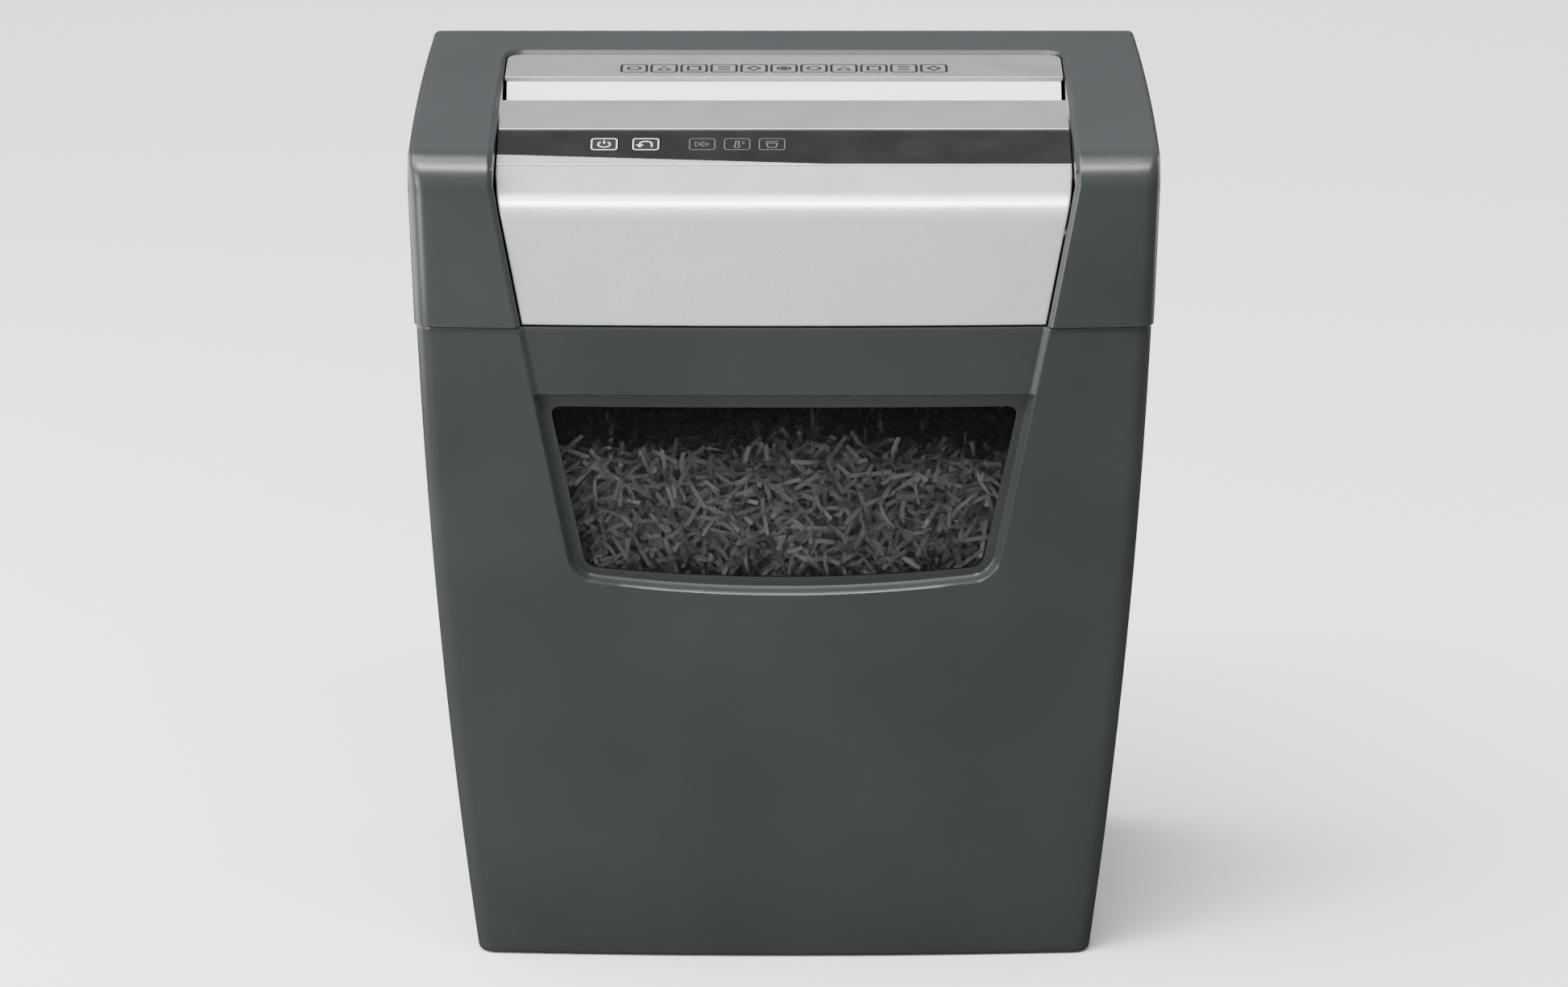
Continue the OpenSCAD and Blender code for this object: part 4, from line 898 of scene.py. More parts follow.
# ---------------------------------------------------------------- bin
@dataclass
class WasteBin:
    """The tapering bin with its recess, smoked pane and what lies in it."""

    form: ShellForm
    wall: float = 2.6
    floor: float = 3.0
    bar_sink: float = 2.6
    window_sink: float = 6.0
    recess_low: float = 194.5
    recess_bow: float = 7.0
    recess_corner: float = 10.5
    recess_spread: float = 1.5
    chamfer: float = 3.2
    bar_low: float = 296.5
    window_top: float = 289.5
    window_low: float = 202.0
    window_w: float = 225.0
    window_bow: float = 5.0
    window_corner: float = 5.5
    foot_round: float = 2.5
    rim_round: float = 0.7
    heap_top: float = 265.0
    heap_gap: float = 9.0
    heap_foot: float = 6.0
    heap_turn: float = 188.0
    heap_half_w: float = 128.0
    heap_back: float = 150.0
    ledge: tuple[float, float, float] = (-164.5, 20.0, 10.0)

    def build(self) -> None:
        """Makes and hangs every piece of the bin."""
        self.shell()
        self.pane()
        self.heap()

    # -- form
    def bow_shift(self, x: float, z: float) -> float:
        """Returns how far a row near height z is lifted at x to follow the recess's lower edge."""
        low_x = self.form.rib_x(self.recess_low) + self.recess_spread
        weight = unit((z - 4) / 140) * unit((285 - z) / 60)
        return self.recess_bow * min(1.0, (x / low_x) ** 2) * weight

    def sink(self, x: float, z: float) -> float:
        """Returns the depth of the recess at a point of the front."""
        low_x = self.form.rib_x(self.recess_low) + self.recess_spread
        edge = self.recess_low + self.recess_bow * min(1.0, (x / low_x) ** 2)
        outside = rounded_distance(abs(x) - self.form.rib_x(z) - self.recess_spread, edge - z,
                                   self.recess_corner)
        bar = self.bar_sink * ramp(-outside, 0.0, self.chamfer)
        below_bar = max(outside, z - self.bar_low - 0.8)
        more = (self.window_sink - self.bar_sink) * ramp(-below_bar, 0.5, self.chamfer - 1.0)
        return bar + more

    def columns(self) -> list[tuple[Face, float, float, float]]:
        """Returns the ring's columns, anticlockwise from the front left.

        A front column's x is a * rib + b + c * half width; elsewhere a is the share of the way
        along its stretch.
        """
        near = [8.0, 4.0, 2.4, 1.9, 1.4, 0.9, 0.3, -0.3, -0.9, -1.4, -1.8, -2.2, -2.7, -3.4]
        near += [-4.4, -5.6, -7.0, -8.5, -10.0, -12.0, -14.0, -17.0]
        left = [(Face.FRONT, -(1 - t), -8.0 * (1 - t), -t) for t in spread(1.0, 0.12, 7)]
        left += [(Face.FRONT, -1.0, -off, 0.0) for off in near]
        middle = [(Face.FRONT, f, -17.0 * f, 0.0) for f in spread(-1.0, 1.0, 25)[1:-1]]
        right = [(face, -a, -b, -c) for face, a, b, c in reversed(left)]
        ring = left + middle + right
        for face, count in ((Face.FRONT_RIGHT, 8), (Face.RIGHT, 14), (Face.REAR_RIGHT, 8),
                            (Face.BACK, 16), (Face.REAR_LEFT, 8), (Face.LEFT, 14),
                            (Face.FRONT_LEFT, 8)):
            ring += [(face, k / count, 0.0, 0.0) for k in range(1, count + 1)]
        return ring[:-1]

    def ring_point(self, column: tuple[Face, float, float, float], z: float, inset: float) -> Point:
        """Returns a column's point at height z, drawn in by inset."""
        face, a, b, c = column
        hw = self.form.bin_hw(z) - inset
        yf, yb = self.form.bin_front(z) + inset, self.form.bin_back(z) - inset
        rf = max(2.0, self.form.front_corner - inset)
        rb = max(2.0, self.form.rear_corner - inset)
        sx = 1.0 if face in (Face.FRONT_RIGHT, Face.RIGHT, Face.REAR_RIGHT) else -1.0
        if face is Face.FRONT:
            x, y = a * self.form.rib_x(z) + b + c * (hw - rf), yf
        elif face in (Face.FRONT_RIGHT, Face.FRONT_LEFT):
            s, c = sine_cosine(90 * (a if face is Face.FRONT_RIGHT else 1 - a))
            x, y = sx * (hw - rf + rf * s), yf + rf - rf * c
        elif face in (Face.RIGHT, Face.LEFT):
            share = a if face is Face.RIGHT else 1 - a
            x, y = sx * hw, yf + rf + (yb - rb - yf - rf) * share
        elif face is Face.BACK:
            x, y = (hw - rb) * (1 - 2 * a), yb
        else:
            s, c = sine_cosine(90 * (a if face is Face.REAR_RIGHT else 1 - a))
            x, y = sx * (hw - rb + rb * c), yb - rb + rb * s
        bx, by, bz = self.form.bowed(x, y, z, hw, yf, yb)
        if face is Face.FRONT:
            by += self.sink(bx, bz)
        return bx, by, bz

    def heights(self, start: float) -> list[float]:
        """Returns the rows' heights from start to the rim, before each is bowed."""
        rim = self.form.seam_z - 0.4
        low = self.recess_low
        rows = [10.0, 22.0, 40.0, 60.0, 80.0, 100.0, 120.0, 140.0, 158.0, 172.0, 182.0, 188.0]
        rows += [low + d for d in (-3.0, -1.0, -0.4, 0.1, 0.6, 1.2, 1.8, 2.4, 2.9, 3.4, 4.2, 5.2,
                                   6.4, 7.6, 8.8, 10.0, 11.5, 13.0, 15.0, 18.0, 23.0, 30.0)]
        rows += spread(238.0, 288.0, 6)
        rows += [self.bar_low + d for d in (-4.0, -2.4, -1.7, -1.2, -0.7, -0.2, 0.3, 0.8, 1.6, 4.0)]
        rows += [308.0, 318.0, 326.0, rim - 1.6, rim - self.rim_round]
        return [start] + [z for z in rows if z > start + 0.5]

    def shell(self) -> None:
        """Builds the bin's double wall with its window opening and the interlock's ledge."""
        rim = self.form.seam_z - 0.4
        cols = self.columns()
        n = len(cols)
        r = self.foot_round
        foot = [(r - r * c, r - r * s) for s, c in map(sine_cosine, spread(0, 90, 6))]
        outer = foot + [(z, 0.0) for z in self.heights(r)[1:]]
        outer += [(rim - 0.2, self.rim_round * 0.3), (rim, self.rim_round)]
        inner = [(rim, self.wall - 0.3)]
        inner += [(z, self.wall) for z in reversed(self.heights(self.floor))]
        points: list[Point] = []
        for z, inset in outer + inner:
            for column in cols:
                flat = self.ring_point(column, z, inset)
                lifted = min(rim, z + self.bow_shift(flat[0], z))
                points.append(self.ring_point(column, lifted, inset))
        rows = len(outer) + len(inner)
        faces = grid_faces(rows, n, wrap=True)
        faces.append(tuple(range(n - 1, -1, -1)))
        faces.append(tuple((rows - 1) * n + j for j in range(n)))
        shell = new_object("bin_body", points, faces)
        tidy_mesh(shell, recalculate=True)
        cut(shell, self.window_tool("window_tool", 0.0))
        x_in, y_mid, width = self.ledge
        x_out = -self.form.bin_hw(rim) + self.wall / 2
        outline = [(x_out, rim), (x_in, rim), (x_in, rim - 4), (x_out, rim - 16)]
        ledge = prism("ledge_tool", [outline], y_mid - width / 2, y_mid + width / 2,
                      along_y)
        cut(shell, ledge, "UNION")
        tidy_mesh(shell, sharp_angle=34.0)
        Workshop.hang(shell, "bin", CASING, "dark_casing", ["bin_shell"])

    def window_tool(self, name: str, grow: float) -> bpy.types.Object:
        """Returns a block with the window's outline that reaches through the front."""
        return prism(name, [self.window_outline(grow)], self.form.front_y - 5,
                     self.form.front_y + 60, along_y)

    def window_outline(self, grow: float) -> list[Flat]:
        """Returns the window's outline in X and Z, grown by grow."""
        slope = self.form.rib_slope
        top, low = self.window_top + grow, self.window_low - grow
        top_x = self.window_w / 2 + grow
        low_x = top_x - (top - low) * slope
        curve = [(x, low + self.window_bow * (x / low_x) ** 2) for x in spread(-low_x, low_x, 33)]
        high_side = (top_x - 30 * slope, top - 30)
        low_side = (top_x - (top - low - 30) * slope, low + 30)
        r = self.window_corner

        def turn(before: Flat, corner: Flat, after: Flat) -> list[Flat]:
            """Returns an eased corner between two directions."""
            ends = []
            for other in (before, after):
                dx, dz = other[0] - corner[0], other[1] - corner[1]
                far = math.hypot(dx, dz)
                ends.append((corner[0] + dx / far * r, corner[1] + dz / far * r))
            return [tuple(ends[0][k] * (1 - t) ** 2 + 2 * corner[k] * t * (1 - t)
                          + ends[1][k] * t * t for k in (0, 1)) for t in spread(0, 1, 9)]

        outline = [p for p in curve if abs(p[0]) < low_x - r * 1.05]
        outline += turn(curve[-3], curve[-1], low_side)
        outline += turn(high_side, (top_x, top), (0.0, top))
        outline += turn((0.0, top), (-top_x, top), (-high_side[0], high_side[1]))
        outline += turn((-low_side[0], low_side[1]), curve[0], curve[2])
        return outline

    def pane(self) -> None:
        """Builds the smoked pane, let into the window opening."""
        xs, zs = spread(-120, 120, 49), spread(196, 296, 26)
        points: list[Point] = []
        for depth in (self.window_sink + 0.5, self.window_sink + 2.3):
            for z in zs:
                hw, yf, yb = self.form.bin_hw(z), self.form.bin_front(z), self.form.bin_back(z)
                points += [self.form.bowed(x, yf + depth, z, hw, yf, yb) for x in xs]
        rows, cols = len(zs), len(xs)
        size = rows * cols
        faces = grid_faces(rows, cols) + grid_faces(rows, cols, size, flip=True)
        rim = [j for j in range(cols)] + [i * cols + cols - 1 for i in range(1, rows)]
        rim += [(rows - 1) * cols + j for j in range(cols - 2, -1, -1)]
        rim += [i * cols for i in range(rows - 2, 0, -1)]
        faces += [(rim[k], rim[k] + size, rim[(k + 1) % len(rim)] + size, rim[(k + 1) % len(rim)])
                  for k in range(len(rim))]
        pane = new_object("smoked_pane", points, faces)
        tidy_mesh(pane, recalculate=True)
        cut(pane, self.window_tool("pane_tool", -0.15), "INTERSECT")
        tidy_mesh(pane, sharp_angle=40.0)
        Workshop.hang(pane, "bin", PANE, "smoked_window", ["bin_window"])

    def heap(self) -> None:
        """Builds the heap of cut paper: a lumpy core and loose strips over it."""
        cols, low_rows, front_rows, top_rows = 46, 4, 15, 14
        points: list[Point] = []
        for t in spread(0.0, 1.0, low_rows)[:-1] + spread(1.0, 2.0, front_rows):
            for x in spread(-1.0, 1.0, cols):
                top = self.heap_height(x, 0.0)
                z = (self.heap_foot + (self.heap_turn - self.heap_foot) * t if t <= 1
                     else self.heap_turn + (top - self.heap_turn) * (t - 1))
                width = min(self.heap_half_w, self.form.rib_x(z) + 6)
                points.append((x * width, self.paper_front(x * width, z) + self.heap_gap, z))
        for share in spread(0.0, 1.0, top_rows)[1:]:
            for x in spread(-1.0, 1.0, cols):
                z, width = self.heap_height(x, share), self.heap_half_w + 14 * share
                y = self.paper_front(x * width, z) + self.heap_gap + share * self.heap_back
                points.append((x * width, y, z))
        rows = len(points) // cols
        core = new_object("paper_core", points, grid_faces(rows, cols))
        bed = new_object("paper_bed", points[(low_rows - 1) * cols:],
                         grid_faces(rows - low_rows + 1, cols))
        strips = PaperFall().scatter(bed)
        for vertex in strips.data.vertices:
            x, y, z = vertex.co / MM
            z = max(z, 5.0)
            side = self.form.bin_hw(z) - self.wall - 4
            x = min(side, max(-side, x))
            vertex.co = Vector((x, max(y, self.paper_front(x, z)), z)) * MM
        strips.data.update()
        tidy_mesh(core, sharp_angle=80.0)
        thicken(core, 1.0)
        tone = core.data.attributes.new("tone", "FLOAT", "POINT")
        tone.data.foreach_set("value", [0.2] * len(core.data.vertices))
        Workshop.hang(core, "bin", PAPER, "chute_lining")
        Workshop.hang(strips, "bin", PAPER, "chute_lining")

    def paper_front(self, x: float, z: float) -> float:
        """Returns the depth just behind the pane and the wall's inner face."""
        hw, yf, yb = self.form.bin_hw(z), self.form.bin_front(z), self.form.bin_back(z)
        return self.form.bowed(x, yf, z, hw, yf, yb)[1] + self.window_sink + self.wall + 0.4

    def heap_height(self, x: float, share: float) -> float:
        """Returns the heap's height at -1 to 1 across, and at a share of the way back."""
        hump = 4 * math.cos(x * 1.4) + 2.4 * math.sin(x * 5.6 + 0.7) + 1.2 * math.sin(x * 13)
        return self.heap_top - 8 + hump - 34 * share * (1 - 0.4 * share)


@dataclass
class PaperFall:
    """Scatters cut strips over a surface with geometry nodes."""

    density: float = 150000.0
    seed: int = 11
    width: float = 2.0
    length: float = 18.0
    curl: float = 1.1
    depth: float = 6.0

    def tree(self) -> bpy.types.NodeTree:
        """Returns the node tree, with named inputs for its sizes."""
        hand, entry = geometry_tree("cut_paper", {
            "Density": "Float", "Seed": "Int", "Width": "Float", "Length": "Float",
            "Curl": "Float", "Depth": "Float"})
        spots = hand.add("GeometryNodeDistributePointsOnFaces", {
            "Mesh": entry["Geometry"], "Density": entry["Density"], "Seed": entry["Seed"]})
        slip = self.random_vector(hand, (-1, -1, -1), (1, 0.6, 1), 5)
        shift = hand.add("ShaderNodeVectorMath", {0: slip}, operation="SCALE")
        hand.feed(shift.inputs["Scale"], entry["Depth"])
        moved = hand.add("GeometryNodeSetPosition", {"Geometry": spots.outputs["Points"],
                                                     "Offset": shift.outputs[0]})
        kinds = hand.add("GeometryNodeJoinGeometry")
        for stretch, bend in ((0.5, 0.9), (0.75, -1.2), (1.0, 0.6), (1.25, 1.5)):
            hand.tree.links.new(self.strip(hand, entry, stretch, bend), kinds.inputs[0])
        tilt = self.random_vector(hand, (-0.5, -0.5, -3.14), (0.5, 0.5, 3.14), 3)
        turn = hand.add("FunctionNodeRotateRotation", {0: spots.outputs["Rotation"], 1: tilt},
                        rotation_space="LOCAL")
        pick = hand.add("FunctionNodeRandomValue", {"Seed": 8}, data_type="INT")
        pick.inputs[4].default_value, pick.inputs[5].default_value = 0, 3
        placed = hand.add("GeometryNodeInstanceOnPoints", {
            "Points": moved.outputs[0], "Instance": kinds.outputs[0], "Pick Instance": True,
            "Instance Index": pick.outputs[2], "Rotation": turn.outputs[0]})
        shade = hand.add("FunctionNodeRandomValue", {"Seed": 9}, data_type="FLOAT")
        toned = hand.add("GeometryNodeStoreNamedAttribute", {
            "Geometry": placed.outputs[0], "Name": "tone", "Value": shade.outputs[1]},
            data_type="FLOAT", domain="INSTANCE")
        return close_tree(hand, entry, toned.outputs[0])

    @staticmethod
    def random_vector(hand: Tree, low: Point, high: Point, seed: int) -> bpy.types.NodeSocket:
        """Returns a random vector between two others."""
        node = hand.add("FunctionNodeRandomValue", {"Seed": seed}, data_type="FLOAT_VECTOR")
        node.inputs[0].default_value, node.inputs[1].default_value = low, high
        return node.outputs[0]

    @staticmethod
    def strip(hand: Tree, entry: dict, stretch: float, bend: float) -> bpy.types.NodeSocket:
        """Returns one kind of strip, bent and twisted along its length."""
        sheet = hand.add("GeometryNodeMeshGrid", {
            "Size X": hand.math("MULTIPLY", entry["Length"], stretch), "Size Y": entry["Width"],
            "Vertices X": 6, "Vertices Y": 2})
        along = hand.add("GeometryNodeStoreNamedAttribute", {
            "Geometry": sheet.outputs["Mesh"], "Name": "along",
            "Value": sheet.outputs["UV Map"]}, data_type="FLOAT_VECTOR", domain="CORNER")
        place = hand.add("ShaderNodeSeparateXYZ",
                         {0: hand.add("GeometryNodeInputPosition").outputs[0]}).outputs
        wave = hand.math("SINE", hand.math("MULTIPLY", place["X"], 210.0 * abs(bend)))
        lift = hand.math("MULTIPLY", wave, hand.math("MULTIPLY", entry["Curl"], bend))
        twist = hand.math("MULTIPLY", hand.math("MULTIPLY", place["X"], place["Y"]), 40.0 * bend)
        up = hand.add("ShaderNodeCombineXYZ", {2: hand.math("ADD", lift, twist)})
        bent = hand.add("GeometryNodeSetPosition", {"Geometry": along.outputs[0],
                                                    "Offset": up.outputs[0]})
        return hand.add("GeometryNodeGeometryToInstance", {0: bent.outputs[0]}).outputs[0]

    def scatter(self, bed: bpy.types.Object) -> bpy.types.Object:
        """Returns the loose strips that lie over a surface, which they use up."""
        bed.name = bed.data.name = "paper_strips"
        run_tree(bed, self.tree(), {
            "Density": self.density, "Seed": self.seed, "Width": self.width * MM,
            "Length": self.length * MM, "Curl": self.curl * MM, "Depth": self.depth * MM,
            "Material": PAPER.build()})
        bed.data.polygons.foreach_set("use_smooth", [True] * len(bed.data.polygons))
        return bed


def geometry_tree(name: str, sizes: dict[str, str]) -> tuple[Tree, dict]:
    """Starts a geometry node tree.

    Args:
        name: the tree's name.
        sizes: each named input with its kind.

    Returns:
        The tree's hand and its inputs by name.
    """
    tree = bpy.data.node_groups.new(name, "GeometryNodeTree")
    for title, kind in {"Geometry": "Geometry", **sizes, "Material": "Material"}.items():
        tree.interface.new_socket(title, in_out="INPUT", socket_type=f"NodeSocket{kind}")
    tree.interface.new_socket("Geometry", in_out="OUTPUT", socket_type="NodeSocketGeometry")
    hand = Tree(tree)
    return hand, hand.add("NodeGroupInput").outputs


def close_tree(hand: Tree, entry: dict, shape: bpy.types.NodeSocket) -> bpy.types.NodeTree:
    """Ends a geometry node tree with real geometry that has its material."""
    whole = hand.add("GeometryNodeRealizeInstances", {0: shape})
    dressed = hand.add("GeometryNodeSetMaterial", {"Geometry": whole.outputs[0],
                                                   "Material": entry["Material"]})
    hand.feed(hand.add("NodeGroupOutput").inputs[0], dressed.outputs[0])
    return hand.tree


def run_tree(obj: bpy.types.Object, tree: bpy.types.NodeTree, values: dict) -> None:
    """Runs a node tree on the object and keeps the result as its plain mesh."""
    modifier = obj.modifiers.new(tree.name, "NODES")
    modifier.node_group = tree
    for item in tree.interface.items_tree:
        if item.item_type == "SOCKET" and item.in_out == "INPUT" and item.name in values:
            modifier[item.identifier] = values[item.name]
    bake_modifiers(obj)


# ---------------------------------------------------------------- head
@dataclass
class HeadShell:
    """The dark cover with its two shoulders and the channel between them."""

    form: ShellForm
    wall: float = 2.5
    back_round: float = 3.8
    top_round: float = 3.2
    rear_edge: float = 82.0
    channel_corner: float = 8.0
    edge_slope: float = 2.8
    edge_drop: float = 2.3
    inlet: tuple[float, float, float] = (-118.0, 353.0, 8.1)
    skirt: float = 2.0
    skirt_drop: float = 23.0
    post: tuple[float, float, float] = (152.0, -92.0, 102.0)
    post_r: float = 4.5
    post_foot: float = 295.5
    bore: tuple[float, float] = (1.6, 317.0)

    def profile(self) -> list[tuple[float, float, float, float, float]]:
        """Returns the side profile from the back's foot over the top to the front's foot.

        Each entry is the point's depth and height, the inward normal's two parts, and the radius
        of the rounding into the side.
        """
        f = self.form
        rows: list[tuple[float, float, float, float, float]] = []
        r = self.back_round
        top = f.top_z
        for z in (0.0, 0.4, 2.0, 12.0, 30.0, 48.0, 62.0, 72.0, 78.0, 80.5):
            share = unit((z - 62) / 18)
            rows.append((f.back_y, f.seam_z + z, -1.0, 0.0,
                         f.rear_corner + (self.top_round - f.rear_corner) * share))
        for s, c in map(sine_cosine, spread(0, 90, 7)):
            rows.append((f.back_y - r + r * c, top - r + r * s, -c, -s, self.top_round))
        tilt = f.top_fall / (f.back_y - f.knee_y)
        norm = math.hypot(1, tilt)
        edge = self.rear_edge + self.edge_slope
        depths = [edge + d for d in (24.0, 12.0, 5.0, 2.0, 0.8, 0.2, -0.3, -0.9, -1.5, -2.1, -2.6,
                                     -3.0, -4.0, -5.0, -6.0, -7.0, -8.0, -9.5, -11.0, -13.0, -16.0)]
        depths += spread(edge - 24, f.knee_y + 4, 18) + [f.knee_y + 1.5]
        rows += [(y, f.head_top(y), tilt / norm, -1 / norm, self.top_round) for y in depths]
        for a in spread(90, 0, 15):
            s, c = sine_cosine(a)
            radius = self.top_round + (f.front_corner - self.top_round) * ramp(90 - a, 15, 75)
            rows.append((f.knee_y - f.knee_r * c, f.knee_z + f.knee_r * s, c, -s, radius))
        for t in spread(0.93, 0.0, 12):
            z = f.seam_z + (f.knee_z - f.seam_z) * t
            lean = f.head_lean * 1.4 * max(t, 0.001) ** 0.4 / (f.knee_z - f.seam_z)
            norm_f = math.hypot(1, lean)
            rows.append((f.head_front(z), z, 1 / norm_f, -lean / norm_f, f.front_corner))
        return rows

    def columns(self) -> list[tuple[float, float, float]]:
        """Returns the columns across the flat part, as factors of channel, one, and flat width."""
        near = [9.0, 6.0, 4.2, 3.3, 2.9, 2.5, 2.0, 1.4, 0.8, 0.35, 0.0, -0.5, -1.2, -2.2, -3.4]
        near += [-5.0, -6.6, -8.4, -11.0]
        left = [(-(1 - t), -9.0 * (1 - t), -t) for t in spread(1.0, 0.15, 6)]
        left += [(-1.0, -off, 0.0) for off in near]
        middle = [(f, -11.0 * f, 0.0) for f in spread(-1.0, 1.0, 19)[1:-1]]
        return left + middle + [(-a, -b, -c) for a, b, c in reversed(left)]

    def channel_sink(self, x: float, y: float, z: float, on_top: bool) -> float:
        """Returns the drop of the sloped edge round the channel."""
        if y > 0 and not on_top:
            return 0.0
        back = y - self.rear_edge - self.edge_slope if on_top else -100.0
        outside = rounded_distance(abs(x) - self.form.rib_x(z) - self.edge_slope, back,
                                   self.channel_corner + self.edge_slope)
        return self.edge_drop * ramp(-outside, 0.0, self.edge_slope)

    def build(self) -> None:
        """Builds and hangs the cover."""
        f = self.form
        points: list[Point] = []
        rows = self.profile()
        flat_cols = self.columns()
        turns = spread(0, 90, 8)[1:]
        falls = [0.04, 0.14, 0.3, 0.5, 0.7, 0.86, 0.96, 1.0]
        length = len(rows) - 1
        for i, (y, z, ny, nz, r) in enumerate(rows):
            anchor = f.back_y - f.rear_corner - (2 * f.back_y - 24) * (i / length)
            side: list[Point] = []
            ay, az = y + ny * r, z + nz * r
            for turn in turns:
                s, c = sine_cosine(turn)
                side.append((r * s - r, y + ny * r * (1 - c), z + nz * r * (1 - c)))
            side += [(0.0, ay + (anchor - ay) * t, az + (f.seam_z - az) * t) for t in falls]
            hw = f.head_hw(z)
            on_top = nz < -0.5
            left = [(-(f.head_hw(pz) + dx), py, pz) for dx, py, pz in reversed(side)]
            right = [(f.head_hw(pz) + dx, py, pz) for dx, py, pz in side]
            middle = []
            for a, b, c in flat_cols:
                x = a * f.rib_x(z) + b + c * (hw - r)
                drop = self.channel_sink(x, y, z, on_top)
                middle.append((x, y + ny * drop, z + nz * drop))
            points += [f.bowed(x, py, pz, f.head_hw(pz), f.head_front(pz), f.back_y)
                       for x, py, pz in left + middle + right]
        cols = len(flat_cols) + 2 * (len(turns) + len(falls))
        cover = new_object("head_cover_skin", points, grid_faces(len(rows), cols, flip=True))
        tidy_mesh(cover, merge=2e-5)
        thicken(cover, self.wall)
        self.add_inside(cover)
        self.open_channel(cover)
        tidy_mesh(cover, sharp_angle=34.0)
        Workshop.hang(cover, "head", CASING, "dark_casing", ["head_cover"])

    def plan(self, grow: float, front: float, steps: int = 1) -> list[Flat]:
        """Returns the channel's open plan, from front right round the back to front left."""
        hw, r = self.form.channel_w / 2, self.channel_corner
        back = self.rear_edge - r
        right = [(hw + grow, y) for y in spread(front, back, steps + 1)[:-1]]
        right += [(hw - r + (r + grow) * c, back + (r + grow) * s)
                  for s, c in (sine_cosine(90 * k / 8) for k in range(9))]
        return right + [(-x, y) for x, y in reversed(right)]

    def add_inside(self, cover: bpy.types.Object) -> None:
        """Adds the channel's skirt and the four screw posts under the skin."""
        f = self.form
        inner = self.plan(0.02, f.knee_y - 10, 26)
        outer = self.plan(self.skirt, f.knee_y - 10, 26)

        def under(y: float) -> float:
            """Returns the height just below the skin's outer face at depth y."""
            drop = self.edge_drop + 0.7
            if y >= f.knee_y:
                return f.head_top(y) - drop
            return f.knee_z + math.sqrt((f.knee_r - drop) ** 2 - (f.knee_y - y) ** 2)

        low = f.top_z - self.skirt_drop
        points: list[Point] = []
        for a, b in zip(inner, outer):
            points += [(*a, low), (*b, low), (*b, under(b[1])), (*a, under(a[1]))]
        n = len(inner)
        faces = grid_faces(n, 4, wrap=True) + [(0, 1, 2, 3), tuple(4 * n - 1 - k for k in range(4))]
        skirt = new_object("skirt_tool", points, faces)
        tidy_mesh(skirt, recalculate=True)
        cut(cover, skirt, "UNION")
        x, front, rear = self.post
        spots = [(sx * x, y) for sx in (-1, 1) for y in (front, rear)]
        cut(cover, prism("post_tool", [circle(a, b, self.post_r) for a, b in spots], self.post_foot,
                         f.head_top(front) - 1.0, along_z), "UNION")
        cut(cover, prism("bore_tool", [circle(a, b, self.bore[0]) for a, b in spots],
                         self.post_foot - 5, self.bore[1], along_z))

    def open_channel(self, cover: bpy.types.Object) -> None:
        """Cuts the channel, the front between the shoulders, and the cord's hole."""
        f = self.form
        hw = f.channel_w / 2
        plan = self.plan(0.0, f.front_y - 20)
        cut(cover, prism("plan_tool", [plan], f.seam_z + f.fascia_rise, f.top_z + 30,
                         along_z))
        low_x = f.rib_x(f.seam_z - 6)
        low_z, high_z = f.seam_z - 6, f.seam_z + f.fascia_rise + 0.1
        front = [(-low_x, low_z), (low_x, low_z), (hw, high_z), (-hw, high_z)]
        cut(cover, prism("front_tool", [front], f.front_y - 20, f.front_y + 40,
                         along_y))
        x, z, radius = self.inlet
        cut(cover, prism("inlet_tool", [circle(x, z, radius, 48)], f.back_y - 12, f.back_y + 8,
                         along_y))


